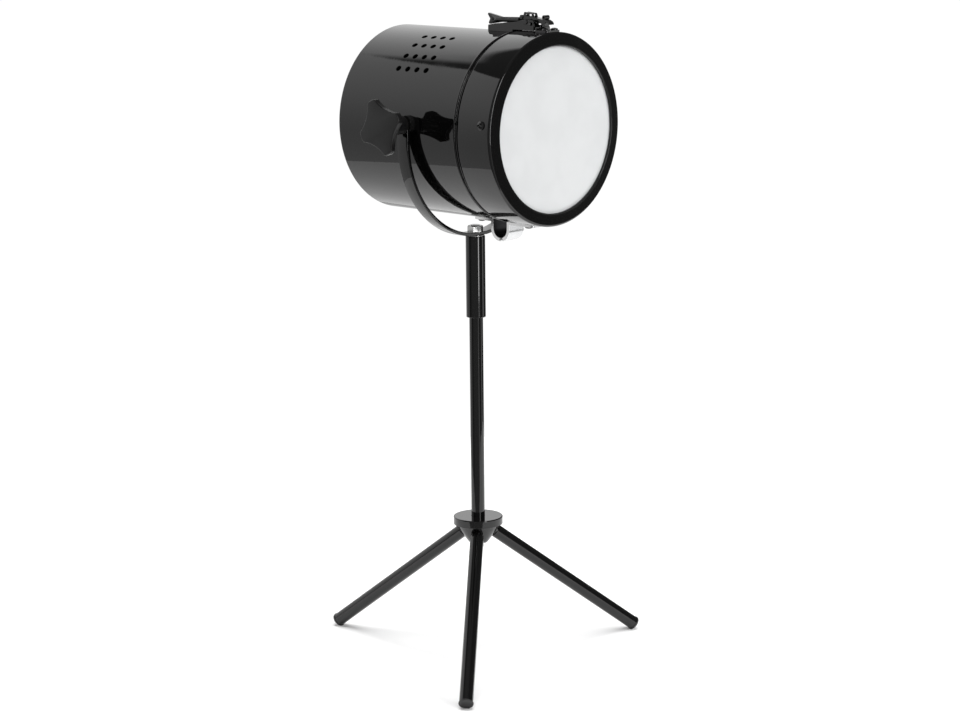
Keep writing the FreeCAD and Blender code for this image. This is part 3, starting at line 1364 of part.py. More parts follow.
def make_hinge():
    middle_half = size["knuckle_length"] / 2
    outer_start = middle_half + size["easy"]
    half_width = size["hinge_width"] / 2
    room = size["knuckle_room"]

    drum_leaf = make_leaf("hinge_leaf_drum", 1, -size["leaf_rear"], size["drum_radius"],
                          size["leaf_screw_rear"], size["screw_radius"])
    cut_midway(drum_leaf, draw_knuckle(drum_leaf, "drum_knuckle_room", room), 2 * outer_start)
    for name, lift in (("drum_knuckle_right", outer_start), ("drum_knuckle_left", -half_width)):
        pad(drum_leaf, draw_knuckle(drum_leaf, name, knuckle, lift), half_width - outer_start)
    cut_through(drum_leaf, draw_knuckle(drum_leaf, "drum_pin_hole", size["hinge_pin_radius"]))
    place_in_head(drum_leaf, 0, 0, 0, SIDE)
    keep(drum_leaf, "hinge_leaf_drum")

    door_leaf = make_leaf("hinge_leaf_door", -1, -size["leaf_front"], size["bezel_radius"],
                          size["leaf_screw_front"], size["screw_radius"])
    cut_to(door_leaf, draw_knuckle(door_leaf, "door_room_right", room, middle_half),
           half_width, reverse=True)
    cut_to(door_leaf, draw_knuckle(door_leaf, "door_room_left", room, -middle_half), half_width)
    pad(door_leaf, draw_knuckle(door_leaf, "door_knuckle", knuckle), size["knuckle_length"],
        midplane=True)
    cut_through(door_leaf, draw_knuckle(door_leaf, "door_pin_hole",
                                        size["hinge_pin_radius"] + size["running"]))
    place_in_head(door_leaf, 0, 0, 0, SIDE)
    keep(door_leaf, "hinge_leaf_door")

    pin = rod_body("hinge_pin", size["hinge_pin_radius"],
                   size["hinge_width"] + 2 * size["hinge_pin_show"])
    place_in_head(pin, -half_width - size["hinge_pin_show"], size["hinge_place"], pin_up, TO_RIGHT)
    keep(pin, "hinge_pin")

    shank = size["leaf_thick"] + size["drum_wall"] + size["leaf_screw_reach"]
    for label, radius, ahead in (("hinge_screws_drum", size["drum_radius"], size["leaf_screw_rear"]),
                                 ("hinge_screws_door", size["bezel_radius"],
                                  size["leaf_screw_front"])):
        screws = []
        for number, half in enumerate((-1, 1), start=1):
            item = screw("%s_%d" % (label, number), shank)
            place_in_head(item, half * size["leaf_screw_spread"], ahead,
                          -radius - size["leaf_thick"], UPRIGHT)
            screws.append(item)
        keep(group(label + "_pair", screws), label)


# --- latch -----------------------------------------------------------------------------------

def make_latch_base():
    body = new_body("latch_base")
    sketch = new_sketch(body, "latch_side")
    half = size["latch_width"] / 2
    seat_depth = size["drum_radius"] - size["seat_depth"]
    rear = -size["latch_rear"]
    front = -size["latch_front"]
    ear_rear = -size["ear_rear"]
    ear_front = -size["ear_front"]
    tail = size["latch_break"]
    tail_end = rear - size["latch_tail"]
    bead_side = -size["bead_place"] + size["bead_radius"] + size["moving_gap"]
    draw_outline(sketch, [
        (rear, seat_depth),
        (rear, size["latch_floor_top"] - tail),
        (rear - tail, size["latch_floor_top"]),
        (tail_end, size["latch_floor_top"]),
        (tail_end - size["latch_wall_slope"], size["latch_wall_top"]),
        (ear_rear, size["latch_wall_top"]),
        (ear_rear - size["ear_break"], size["ear_top"]),
        (ear_front + size["ear_slope"], size["ear_top"]),
        (ear_front, size["ear_top"] - size["ear_slope"]),
        (ear_front, size["ear_foot"] + size["ear_break"]),
        (ear_front + size["ear_break"], size["ear_foot"]),
        (front, size["ear_foot"]),
        (front, size["latch_floor_top"]),
        (bead_side, size["latch_floor_top"] - tail),
        (bead_side, seat_depth),
    ])
    pad(body, sketch, size["latch_width"], midplane=True)
    channel = new_sketch(body, "latch_channel")
    web = rear + size["latch_web"]
    over = size["ear_top"] + size["spare"]
    beyond = ear_front - size["spare"]
    under = size["ear_foot"] - size["spare"]
    draw_outline(channel, [
        (web, size["latch_floor_top"]),
        (web, over),
        (beyond, over),
        (beyond, under),
        (front, under),
        (front, size["latch_floor_top"]),
    ])
    cut_midway(body, channel, size["latch_width"] - 2 * size["latch_sheet"])
    seat = new_sketch(body, "latch_seat", "YZ_Plane")
    draw_circle(seat, 0, 0, size["drum_radius"] + size["seat"])
    cut_through(body, seat)
    pivot = new_sketch(body, "latch_pivot_hole")
    draw_circle(pivot, -size["lever_pivot_place"], size["lever_pivot_height"],
                size["latch_pin_radius"])
    cut_through(body, pivot)
    rivets = new_sketch(body, "latch_rivet_holes", "XZ_Plane")
    for ahead in rivet_places:
        draw_circle(rivets, -ahead, 0, size["rivet_radius"])
    cut_through(body, rivets)
    place_in_head(body, 0, 0, 0, SIDE)
    keep(body, "latch_base")

    head = size["rivet_radius"] + size["rivet_head"]
    height = size["rivet_head_height"]
    rivet_set = []
    for number, ahead in enumerate(rivet_places, start=1):
        shank = cylinder("rivet_shank_%d" % number, size["rivet_radius"],
                         size["latch_floor_top"] - drum_inner + height)
        place_in_head(shank, 0, ahead, drum_inner - height / 2, UPRIGHT)
        top = cylinder("rivet_top_%d" % number, head, height)
        place_in_head(top, 0, ahead, size["latch_floor_top"], UPRIGHT)
        under = cylinder("rivet_under_%d" % number, head, height)
        place_in_head(under, 0, ahead, drum_inner - height - size["rivet_set"], UPRIGHT)
        rivet_set.append(fuse("rivet_%d" % number, [shank, top, under]))
    keep(group("rivet_pair", rivet_set), "latch_rivets")

    pin = cross_pin("latch_pivot", size["latch_pin_radius"], half, size["latch_pin_head"])
    place_in_head(pin, 0, size["lever_pivot_place"], size["lever_pivot_height"], TO_RIGHT)
    keep(pin, "latch_pivot_pin")


# A headed pin across the lamp, its middle at the local origin.
def cross_pin(name, radius, half_span, head):
    shank = cylinder(name + "_shank", radius, 2 * half_span)
    place(shank, 0, 0, -half_span)
    left = cylinder(name + "_left", radius + head, head)
    place(left, 0, 0, -half_span - head)
    right = cylinder(name + "_right", radius + head, head)
    place(right, 0, 0, half_span)
    return fuse(name, [shank, left, right])


def make_lever():
    body = new_body("latch_lever")
    sketch = new_sketch(body, "lever_outline")
    pivot_x = -size["lever_pivot_place"]
    pivot_y = size["lever_pivot_height"]
    neck_half = size["lever_neck"] / 2
    flare_half = size["lever_flare"] / 2
    neck_end = -size["lever_end"] - size["flare_length"]
    boss = size["lever_boss"]
    flat = size["lever_boss_flat"]
    tip = -size["lever_end"]
    tip_y = pivot_y + size["lever_rise"]
    tip_break = size["tip_break"]
    corner = flare_half - size["tip_corner"]
    claw_x = -size["claw_place"]
    crown = size["claw_height"] + size["claw_boss"] - size["lever_crown_drop"]
    draw_outline(sketch, [
        (pivot_x + boss, pivot_y - neck_half),
        (neck_end, pivot_y - neck_half),
        (tip - tip_break, tip_y - flare_half),
        (tip, tip_y - corner),
        (tip - size["tip_notch"], tip_y),
        (tip, tip_y + corner),
        (tip - tip_break, tip_y + flare_half),
        (neck_end, pivot_y + neck_half),
        (claw_x + size["lever_slope"], pivot_y + neck_half),
        (claw_x + size["lever_crown"], crown),
        (claw_x - size["lever_crown"], crown),
        (pivot_x - boss, pivot_y + flat),
        (pivot_x - boss, pivot_y - flat),
        (pivot_x - flat, pivot_y - boss),
        (pivot_x + flat, pivot_y - boss),
    ])
    pad(body, sketch, size["lever_thick"], midplane=True)
    pivot = new_sketch(body, "lever_pivot_hole")
    draw_circle(pivot, pivot_x, pivot_y, size["latch_pin_radius"] + size["running"])
    draw_circle(pivot, claw_x, size["claw_height"], size["claw_pin_radius"])
    draw_circle(pivot, tip - size["tip_hole_inset"], tip_y, size["tip_hole"])
    cut_through(body, pivot)
    place_in_head(body, 0, 0, 0, SIDE)
    keep(body, "latch_lever")


def make_claw():
    slot = size["lever_thick"] + 2 * size["easy"]
    body = new_body("latch_claw")
    sketch = new_sketch(body, "claw_outline")
    boss = size["claw_boss"]
    place_x = -size["claw_place"]
    under = size["lever_pivot_height"] + size["latch_pin_radius"] + size["moving_gap"]
    top = size["claw_height"] + boss
    lip_top = keeper_top + size["keeper_lip"]
    nose = -size["claw_nose"]
    bevel = size["claw_break"]
    hook_foot = lip_top + size["moving_gap"]
    hook_rear = nose + size["claw_hook"]
    draw_outline(sketch, [
        (place_x + boss, under),
        (place_x + boss, top - bevel),
        (place_x + boss - bevel, top),
        (place_x - size["claw_flat"], top),
        (nose + size["claw_brow"], under + size["claw_brow_rise"]),
        (nose, under - size["claw_nose_drop"]),
        (nose, hook_foot + bevel),
        (nose + bevel, hook_foot),
        (hook_rear, hook_foot),
        (hook_rear, under),
    ])
    width = slot + 2 * size["claw_sheet"]
    pad(body, sketch, width, midplane=True)
    channel = new_sketch(body, "claw_slot")
    web = hook_rear + size["claw_web"]
    beyond = place_x + boss + size["spare"]
    draw_outline(channel, [
        (web, under - size["spare"]),
        (beyond, under - size["spare"]),
        (beyond, top + size["spare"]),
        (web, top + size["spare"]),
    ])
    cut_midway(body, channel, slot)
    hole = new_sketch(body, "claw_hole")
    draw_circle(hole, place_x, size["claw_height"], size["claw_pin_radius"] + size["running"])
    cut_through(body, hole)
    place_in_head(body, 0, 0, 0, SIDE)
    keep(body, "latch_claw")

    pin = cross_pin("claw_pin_fused", size["claw_pin_radius"], width / 2 + size["easy"],
                    size["claw_pin_head"])
    place_in_head(pin, 0, size["claw_place"], size["claw_height"], TO_RIGHT)
    keep(pin, "claw_pin")


keeper_top = size["bezel_radius"] + size["keeper_sheet"]


def make_keeper():
    body = new_body("keeper")
    sketch = new_sketch(body, "keeper_side")
    draw_outline(sketch, [
        (-size["keeper_rear"], size["bezel_radius"] - size["seat_depth"]),
        (-size["keeper_rear"], keeper_top + size["keeper_lip"]),
        (-size["keeper_rear"] - size["keeper_sheet"], keeper_top + size["keeper_lip"]),
        (-size["keeper_rear"] - size["keeper_sheet"], keeper_top),
        (-size["keeper_front"], keeper_top),
        (-size["keeper_front"], size["bezel_radius"] - size["seat_depth"]),
    ])
    plate = pad(body, sketch, size["keeper_width"], midplane=True)
    end = -size["keeper_front"].value

    def at_front_corner(edge):
        upright = abs(edge.Vertexes[0].Y - edge.Vertexes[1].Y) > 1
        return upright and abs(middle(edge).x - end) < TOUCH

    round_edges(body, plate, size["keeper_corner"], at_front_corner)
    seat = new_sketch(body, "keeper_seat", "YZ_Plane")
    draw_circle(seat, 0, 0, size["bezel_radius"] + size["seat"])
    cut_through(body, seat)
    holes = new_sketch(body, "keeper_holes", "XZ_Plane")
    for half in (-1, 1):
        draw_circle(holes, -size["keeper_screw_place"], half * size["keeper_screw_spread"],
                    size["keeper_screw_radius"])
    cut_through(body, holes)
    place_in_head(body, 0, 0, 0, SIDE)
    keep(body, "keeper")

    screws = []
    shank = size["keeper_sheet"] + size["bezel_wall"] + size["keeper_screw_reach"]
    head = size["keeper_screw_radius"] + size["keeper_screw_head"]
    for number, half in enumerate((-1, 1), start=1):
        item = screw("keeper_screw_%d" % number, shank, size["keeper_screw_radius"], head,
                     size["keeper_screw_head_height"])
        place_in_head(item, half * size["keeper_screw_spread"], size["keeper_screw_place"],
                      keeper_top, DOWN)
        screws.append(item)
    keep(group("keeper_screw_pair", screws), "keeper_screws")


def build():
    make_hub()
    make_hub_bolt()
    make_post()
    make_sleeve()
    make_swivel()
    for number, azimuth in enumerate(leg_azimuths, start=1):
        make_leg(number, azimuth)
        make_foot_cap(number, azimuth)
    make_yoke()
    make_drum()
    make_collar()
    make_rear_cover()
    make_cover_screws()
    make_gland()
    make_bracket()
    make_lampholder()
    make_lamp()
    make_trunnion("left", -1)
    make_trunnion("right", 1)
    make_bezel()
    make_diffuser()
    make_retaining_ring()
    make_bezel_screws()
    make_hinge()
    make_latch_base()
    make_lever()
    make_claw()
    make_keeper()


build()
doc.recompute()

faults = []
for item in doc.Objects:
    if "Invalid" in item.State or "Error" in item.State:
        faults.append("%s: %s" % (item.Label, item.State))
for item in sub_parts:
    if item.Shape.isNull() or not item.Shape.isValid():
        faults.append("%s: bad shape" % item.Label)
if faults:
    raise RuntimeError("; ".join(faults))

os.makedirs("parts", exist_ok=True)
for item in sub_parts:
    item.Shape.exportStep("parts/%s.step" % item.Label)
print("%d sub-parts" % len(sub_parts))
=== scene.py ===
import json
import math

import bmesh
import bpy
from mathutils import Matrix, Vector


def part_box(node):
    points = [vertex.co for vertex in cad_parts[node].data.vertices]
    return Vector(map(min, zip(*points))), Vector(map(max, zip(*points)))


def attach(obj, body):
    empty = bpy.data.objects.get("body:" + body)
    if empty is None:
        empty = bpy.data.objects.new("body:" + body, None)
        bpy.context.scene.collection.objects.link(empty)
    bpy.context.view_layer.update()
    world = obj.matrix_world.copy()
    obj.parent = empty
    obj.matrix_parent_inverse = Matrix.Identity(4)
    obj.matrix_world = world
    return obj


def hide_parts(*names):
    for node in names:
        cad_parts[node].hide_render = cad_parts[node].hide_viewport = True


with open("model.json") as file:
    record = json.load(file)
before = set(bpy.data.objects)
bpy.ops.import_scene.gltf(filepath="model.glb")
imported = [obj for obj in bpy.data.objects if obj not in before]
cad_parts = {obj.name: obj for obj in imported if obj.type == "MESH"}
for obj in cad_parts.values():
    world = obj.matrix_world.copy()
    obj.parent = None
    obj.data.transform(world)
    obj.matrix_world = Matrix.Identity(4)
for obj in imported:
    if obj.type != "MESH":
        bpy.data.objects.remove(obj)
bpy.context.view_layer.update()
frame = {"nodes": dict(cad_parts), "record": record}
nodes = frame["nodes"]
bodyOf = {node: body for body, members in frame["record"]["behaviour"]["bodies"].items()
          for node in members}
slotOf = {part["node"]: part["material_slot"] for part in frame["record"]["subparts"]}
mm = 0.001

# Millimetres. Head places are given as across (+X), ahead of the tilt axis, and up from the drum axis.
lamp = {"postX": -12.7, "postY": -29.1, "headHeight": 504.3, "pivotRise": 6.0}


def headPoint(across, ahead, up):
    return Vector((lamp["postX"] + across, lamp["postY"] - ahead, lamp["headHeight"] + up)) * mm


def postPoint(across, back, height):
    return Vector((lamp["postX"] + across, lamp["postY"] + back, height)) * mm


def axisFrame(origin, along, side=None):
    # a matrix in metres whose Z runs along the axis; local lengths are millimetres
    z = Vector(along).normalized()
    if side is None:
        side = (0, -1, 0) if abs(z.x) > 0.99 else (1, 0, 0)
    x = Vector(side)
    x = (x - z * x.dot(z)).normalized()
    y = z.cross(x)
    turned = Matrix((x, y, z)).transposed().to_4x4()
    return Matrix.Translation(origin) @ turned @ Matrix.Scale(mm, 4)


ahead = axisFrame(headPoint(0, 0, 0), (0, -1, 0))
upright = axisFrame(postPoint(0, 0, 0), (0, 0, 1))


# node graphs written as expressions

class Sock:
    # wraps an output socket, so that + - * / and comparisons add Math nodes
    def __init__(self, graph, socket):
        self.graph = graph
        self.socket = socket

    def maths(self, operation, *others):
        values = {index: value for index, value in enumerate((self,) + others)}
        return self.graph.add("ShaderNodeMath", {"operation": operation}, values)

    def __add__(self, other): return self.maths("ADD", other)
    def __radd__(self, other): return self.maths("ADD", other)
    def __sub__(self, other): return self.maths("SUBTRACT", other)
    def __rsub__(self, other): return self.graph.value(other).maths("SUBTRACT", self)
    def __mul__(self, other): return self.maths("MULTIPLY", other)
    def __rmul__(self, other): return self.maths("MULTIPLY", other)
    def __truediv__(self, other): return self.maths("DIVIDE", other)
    def __rtruediv__(self, other): return self.graph.value(other).maths("DIVIDE", self)
    def __pow__(self, other): return self.maths("POWER", other)
    def __gt__(self, other): return self.maths("GREATER_THAN", other)
    def __lt__(self, other): return self.maths("LESS_THAN", other)

    def ramp(self, low, high, first=0.0, last=1.0):
        # smooth step from first to last while the value goes from low to high
        return self.graph.add("ShaderNodeMapRange", {"interpolation_type": "SMOOTHSTEP"},
                              {"Value": self, "From Min": low, "From Max": high,
                               "To Min": first, "To Max": last})


class Graph:
    def __init__(self, tree):
        self.tree = tree

    def add(self, kind, settings=None, values=None, out=0):
        node = self.tree.nodes.new(kind)
        for name, setting in (settings or {}).items():
            setattr(node, name, setting)
        for name, value in (values or {}).items():
            socket = node.inputs[name]
            if isinstance(value, Sock):
                self.tree.links.new(value.socket, socket)
            else:
                socket.default_value = value
        return Sock(self, node.outputs[out]) if len(node.outputs) else node

    def value(self, number):
        node = self.tree.nodes.new("ShaderNodeValue")
        node.outputs[0].default_value = number
        return Sock(self, node.outputs[0])

    def split(self, place):
        node = self.add("ShaderNodeSeparateXYZ", None, {0: place}).socket.node
        return [Sock(self, output) for output in node.outputs]

    def mix(self, share, first, second):
        node = self.tree.nodes.new("ShaderNodeMix")
        node.data_type = "RGBA"
        for index, value in ((0, share), (6, first), (7, second)):
            if isinstance(value, Sock):
                self.tree.links.new(value.socket, node.inputs[index])
            else:
                node.inputs[index].default_value = value
        return Sock(self, node.outputs[2])

    def vector(self, **parts):
        return self.add("ShaderNodeCombineXYZ", None, parts)

    def moved(self, mesh, **changes):
        return self.add("GeometryNodeTransform", None, {"Geometry": mesh, **changes})

    def boolean(self, operation, first, *others):
        # a difference cuts the others from the first; the other kinds take all of them alike
        cut = operation == "DIFFERENCE"
        made = self.add("GeometryNodeMeshBoolean", {"operation": operation, "solver": "MANIFOLD"},
                        {0: first} if cut else None)
        for mesh in others if cut else (first,) + others:
            self.tree.links.new(mesh.socket, made.socket.node.inputs[1])
        return made

    def noise(self, place, scale, detail=1.0, roughness=0.5):
        return self.add("ShaderNodeTexNoise", {"noise_dimensions": "3D"},
                        {"Vector": place, "Scale": scale, "Detail": detail, "Roughness": roughness})


def grey(level, alpha=1.0):
    return (level, level, level, alpha)


def material(name, fixed, paint):
    # fixed: constants on the shader's own sockets; paint(graph, place) gives the ones that vary
    made = bpy.data.materials.new(name)
    made.use_nodes = True
    graph = Graph(made.node_tree)
    shader = next(n for n in made.node_tree.nodes if n.type == "BSDF_PRINCIPLED")
    place = graph.add("ShaderNodeTexCoord", out="Object")
    for socket, value in fixed.items():
        shader.inputs[socket].default_value = value
    for socket, value in paint(graph, place).items():
        if isinstance(value, tuple) and socket == "Normal":
            height, distance = value
            value = graph.add("ShaderNodeBump", None, {"Height": height, "Strength": 1.0,
                                                       "Distance": distance})
        made.node_tree.links.new(value.socket, shader.inputs[socket])
    return made


enamelLook = {"base": 0.0022, "dust": 0.02, "speckScale": 95.0, "roughness": 0.035,
              "smear": 0.05, "smearScale": 24.0, "peelScale": 420.0, "peelHeight": 5e-6,
              "waveScale": 55.0, "wave": 4.0}
hardwareLook = {**enamelLook, "base": 0.005, "dust": 0.04, "roughness": 0.11, "smear": 0.12,
                "peelScale": 900.0, "peelHeight": 6e-6, "waveScale": 160.0, "wave": 3.0}


def paintEnamel(look):
    # gloss with orange peel, a slow waviness, dull smears and dust specks
    def paint(graph, place):
        peel = graph.noise(place, look["peelScale"], 1.0)
        wave = graph.noise(place, look["waveScale"], 0.0)
        smear = graph.noise(place, look["smearScale"], 3.0, 0.6).ramp(0.45, 0.8)
        specks = graph.add("ShaderNodeTexVoronoi", {"feature": "F1"},
                           {"Vector": place, "Scale": look["speckScale"]}, out="Distance")
        dust = specks.ramp(0.022, 0.01)
        return {
            "Base Color": graph.mix(dust, grey(look["base"]), grey(look["dust"])),
            "Roughness": look["roughness"] + smear * look["smear"] + dust * 0.3,
            "Normal": (peel + wave * look["wave"], look["peelHeight"]),
        }
    return paint


knobLook = {"base": 0.003, "roughness": 0.36, "rubScale": 70.0,
            "grainScale": 1900.0, "grainHeight": 7e-6}
footLook = {**knobLook, "base": 0.02, "roughness": 0.45, "grainScale": 1500.0, "grainHeight": 1e-5}
glandLook = {**footLook, "base": 0.016, "roughness": 0.42}


def paintMoulded(look):
    # moulded grain, a little paler and duller where hands rub it
    def paint(graph, place):
        grain = graph.noise(place, look["grainScale"], 2.0)
        rub = graph.noise(place, look["rubScale"], 3.0).ramp(0.4, 0.75)
        return {
            "Base Color": graph.mix(rub, grey(look["base"]), grey(look["base"] * 1.5)),
            "Roughness": look["roughness"] + 0.08 * rub + (grain - 0.5) * 0.1,
            "Normal": (grain, look["grainHeight"]),
        }
    return paint


metalLook = {
    "chrome": {"dark": (0.55, 0.555, 0.56, 1), "light": (0.63, 0.635, 0.64, 1), "roughness": 0.2,
               "spread": 0.07, "scale": 60.0, "grain": 900.0, "height": 1.2e-6},
    "platedSteel": {"dark": (0.5, 0.5, 0.49, 1), "light": (0.7, 0.7, 0.7, 1), "roughness": 0.22,
                    "spread": 0.16, "scale": 140.0, "grain": 1600.0, "height": 4e-6},
    "brass": {"dark": (0.6, 0.42, 0.18, 1), "light": (0.83, 0.63, 0.32, 1), "roughness": 0.2,
              "spread": 0.15, "scale": 90.0, "grain": 1200.0, "height": 3e-6},
    "nickel": {"dark": (0.58, 0.57, 0.54, 1), "light": (0.76, 0.75, 0.72, 1), "roughness": 0.18,
               "spread": 0.12, "scale": 90.0, "grain": 1200.0, "height": 3e-6},
}


def paintMetal(look):
    def paint(graph, place):
        stain = graph.noise(place, look["scale"], 4.0, 0.6)
        grain = graph.noise(place, look["grain"], 2.0)
        return {
            "Base Color": graph.mix(stain.ramp(0.3, 0.7), look["dark"], look["light"]),
            "Roughness": look["roughness"] + (stain - 0.4).ramp(-0.1, 0.3) * look["spread"],
            "Normal": (grain + stain, look["height"]),
        }
    return paint


# the edge colour is painted shade for a band at the rim of the glass
frostedLook = {"base": (0.585, 0.594, 0.598, 1), "cloud": (0.61, 0.619, 0.623, 1),
               "edge": (0.51, 0.519, 0.523, 1), "shadeFrom": 70.0, "shadeTo": 74.5,
               "roughness": 0.42, "grainScale": 2600.0, "grainHeight": 5e-6, "cloudScale": 30.0}


def paintFrosted(graph, place):
    # a fine blasted grain, and a slightly darker band of painted shade at the edge of the glass, where
    # it meets the ring
    look = frostedLook
    grain = graph.noise(place, look["grainScale"], 2.0)
    cloud = graph.noise(place, look["cloudScale"], 2.0)
    axis = headPoint(0, 0, 0)
    x, y, z = graph.split(place)
    x, z = x - axis.x, z - axis.z
    # painted shade in a band at the rim of the glass
    rimShade = (x * x + z * z).maths("SQRT").ramp(look["shadeFrom"] * mm, look["shadeTo"] * mm)
    milky = graph.mix(cloud.ramp(0.35, 0.65), look["base"], look["cloud"])
    return {
        "Base Color": graph.mix(rimShade, milky, look["edge"]),
        "Roughness": look["roughness"] + 0.12 * grain,
        "Normal": (grain, look["grainHeight"]),
    }


pearlLook = {"scale": 40.0, "dark": (0.86, 0.86, 0.84, 1), "light": (0.92, 0.92, 0.9, 1),
             "roughness": 0.22, "spread": 0.1}


def paintPearl(graph, place):
    look = pearlLook
    cloud = graph.noise(place, look["scale"], 2.0)
    return {
        "Base Color": graph.mix(cloud.ramp(0.3, 0.7), look["dark"], look["light"]),
        "Roughness": look["roughness"] + look["spread"] * cloud,
    }


porcelainLook = {"glazeScale": 180.0, "glazeHeight": 2e-5, "speckScale": 900.0, "roughness": 0.12,
                 "base": (0.86, 0.85, 0.8, 1), "speck": (0.6, 0.56, 0.48, 1)}


def paintPorcelain(graph, place):
    look = porcelainLook
    glaze = graph.noise(place, look["glazeScale"], 2.0)
    speck = graph.noise(place, look["speckScale"], 1.0).ramp(0.68, 0.78)
    return {
        "Base Color": graph.mix(speck, look["base"], look["speck"]),
        "Roughness": look["roughness"] + 0.12 * glaze,
        "Normal": (glaze, look["glazeHeight"]),
    }


finish = {
    "black_enamel": material("blackEnamel", {"IOR": 1.5}, paintEnamel(enamelLook)),
    "black_hardware": material("blackPlatedSheet", {"IOR": 1.55}, paintEnamel(hardwareLook)),
    "knob_plastic": material("mouldedKnob", {"IOR": 1.46}, paintMoulded(knobLook)),
    "foot_plastic": material("mouldedFoot", {"IOR": 1.46}, paintMoulded(footLook)),
    "gland_plastic": material("mouldedGland", {"IOR": 1.46}, paintMoulded(glandLook)),
    "frosted_glass": material("frostedGlass", {"IOR": 1.5}, paintFrosted),
    "lamp_glass": material("pearlGlass", {"IOR": 1.5}, paintPearl),
    "porcelain": material("glazedPorcelain", {"IOR": 1.5}, paintPorcelain),
    "brass": material("shellBrass", {"Metallic": 1.0}, paintMetal(metalLook["brass"])),
    "nickelled_cap": material("capNickel", {"Metallic": 1.0}, paintMetal(metalLook["nickel"])),
    "plated_steel": material("platedSteel", {"Metallic": 1.0}, paintMetal(metalLook["platedSteel"])),
}

# the edge colour is a painted highlight for the cut edges; the dark colour is painted shade inside the
# bow
hingeLook = {"bowAhead": 40.4, "bowUp": -93.4, "inside": 8.2, "insideShade": (0.05, 0.05, 0.052, 1),
             "halfWidth": 9.6, "edge": (0.86, 0.86, 0.86, 1)}


def paintHinge(graph, place):
    # bright plating, with a painted highlight on the cut edges and painted shade inside the bow
    look = hingeLook
    painted = paintMetal(metalLook["chrome"])(graph, place)
    x, y, z = graph.split(place)
    centre = headPoint(0, look["bowAhead"], look["bowUp"])
    edge = (x - centre.x).maths("ABSOLUTE") > look["halfWidth"] * mm
    y, z = y - centre.y, (z - centre.z).maths("MINIMUM", 0.0)
    inside = (y * y + z * z).maths("SQRT") < look["inside"] * mm
    # painted highlight on the cut edges, then painted shade inside the bow
    edgeHighlight = graph.mix(edge, painted["Base Color"], look["edge"])
    painted["Base Color"] = graph.mix(inside, edgeHighlight, look["insideShade"])
    painted["Roughness"] = painted["Roughness"] + inside * 0.2
    return painted


finish["chrome"] = material("hingeChrome", {"Metallic": 1.0}, paintHinge)
print("finishes:", len(finish))


# mesh helpers

def smoothed(mesh, angle=32.0):
    mesh.polygons.foreach_set("use_smooth", [True] * len(mesh.polygons))
    mesh.set_sharp_from_angle(angle=math.radians(angle))
    return mesh


def linked(name, data):
    made = bpy.data.objects.new(name, data)
    bpy.context.scene.collection.objects.link(made)
    return made


def piece(name, mesh, node, slot=None):
    # a finished piece that stands for a CAD node, on the same body
    made = linked(name, mesh)
    slot = slot or slotOf[node]
    mesh.materials.clear()
    mesh.materials.append(finish[slot])
    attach(made, bodyOf[node])
    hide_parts(node)
    return made


def rounded(corners, closed=True):
    # corners (along, radius, rounding) to a dense outline; short support runs keep flats flat
    support = 0.12
    points = [Vector((c[0], c[1])) for c in corners]
    count = len(points)
    path = []
    for index, here in enumerate(points):
        fillet = corners[index][2] if len(corners[index]) > 2 else 0.0
        if (not closed and index in (0, count - 1)) or fillet <= 0:
            path.append(here)
            continue
        before = points[index - 1] - here
        after = points[(index + 1) % count] - here
        half = before.angle(after) / 2
        reach = fillet / math.tan(half)
        start = here + before.normalized() * reach
        end = here + after.normalized() * reach
        middle = (before.normalized() + after.normalized()).normalized()
        centre = here + middle * (fillet / math.sin(half))
        if before.length > reach + 4 * support:
            path.append(start + before.normalized() * support)
        first = math.atan2((start - centre).y, (start - centre).x)
        last = math.atan2((end - centre).y, (end - centre).x)
        sweep = (last - first + math.pi) % (2 * math.pi) - math.pi
        steps = max(3, round(abs(math.degrees(sweep)) / 11))
        for step in range(steps + 1):
            angle = first + sweep * step / steps
            path.append(centre + Vector((math.cos(angle), math.sin(angle))) * fillet)
        if after.length > reach + 4 * support:
            path.append(end + after.normalized() * support)
    return path


def faceted(mesh, rule):
    # sets the normal of each face corner by a rule of (face, spoke from the drum axis, ahead, normal)
    axis = headPoint(0, 0, 0)
    normals = [Vector(corner.vector) for corner in mesh.corner_normals]
    for face in mesh.polygons:
        for loop in face.loop_indices:
            spot = mesh.vertices[mesh.loops[loop].vertex_index].co
            out = Vector((spot.x - axis.x, 0, spot.z - axis.z))
            normals[loop] = rule(face, out, (axis.y - spot.y) / mm, normals[loop])
    mesh.normals_split_custom_set([tuple(normal) for normal in normals])


def cleanMesh(bm, name, angle=32.0):
    bmesh.ops.remove_doubles(bm, verts=bm.verts, dist=1e-8)
    bmesh.ops.recalc_face_normals(bm, faces=bm.faces)
    mesh = bpy.data.meshes.new(name)
    bm.to_mesh(mesh)
    bm.free()
    return smoothed(mesh, angle)


def hoop(bm, place, along, radius, steps):
    # a ring of points about the local Z of a place; its radius may be a function of the angle
    ring = []
    for step in range(steps):
        angle = 2 * math.pi * step / steps
        r = radius(angle) if callable(radius) else radius
        ring.append(bm.verts.new(place @ Vector((r * math.cos(angle), r * math.sin(angle), along))))
    return ring


def skin(bm, rings, closed=False):
    # faces from each ring to the next; a ring may be a single point
    for one, two in list(zip(rings, rings[1:])) + ([(rings[-1], rings[0])] if closed else []):
        steps = max(len(one), len(two))
        for step in range(steps if steps > 1 else 0):
            after = (step + 1) % steps
            if len(one) == 1:
                bm.faces.new((one[0], two[after], two[step]))
            elif len(two) == 1:
                bm.faces.new((one[step], one[after], two[0]))
            else:
                bm.faces.new((one[step], one[after], two[after], two[step]))


def turn(bm, outline, place, steps=160, closed=True):
    # revolves an outline of (along, radius) about the local Z of a place
    skin(bm, [hoop(bm, place, along, radius, steps) if radius > 1e-6
              else [bm.verts.new(place @ Vector((0, 0, along)))] for along, radius in outline], closed)
    return bm


def turned(name, corners, place, node, steps=160, closed=True):
    bm = turn(bmesh.new(), rounded(corners, closed), place, steps, closed)
    return piece(name, cleanMesh(bm, name), node)


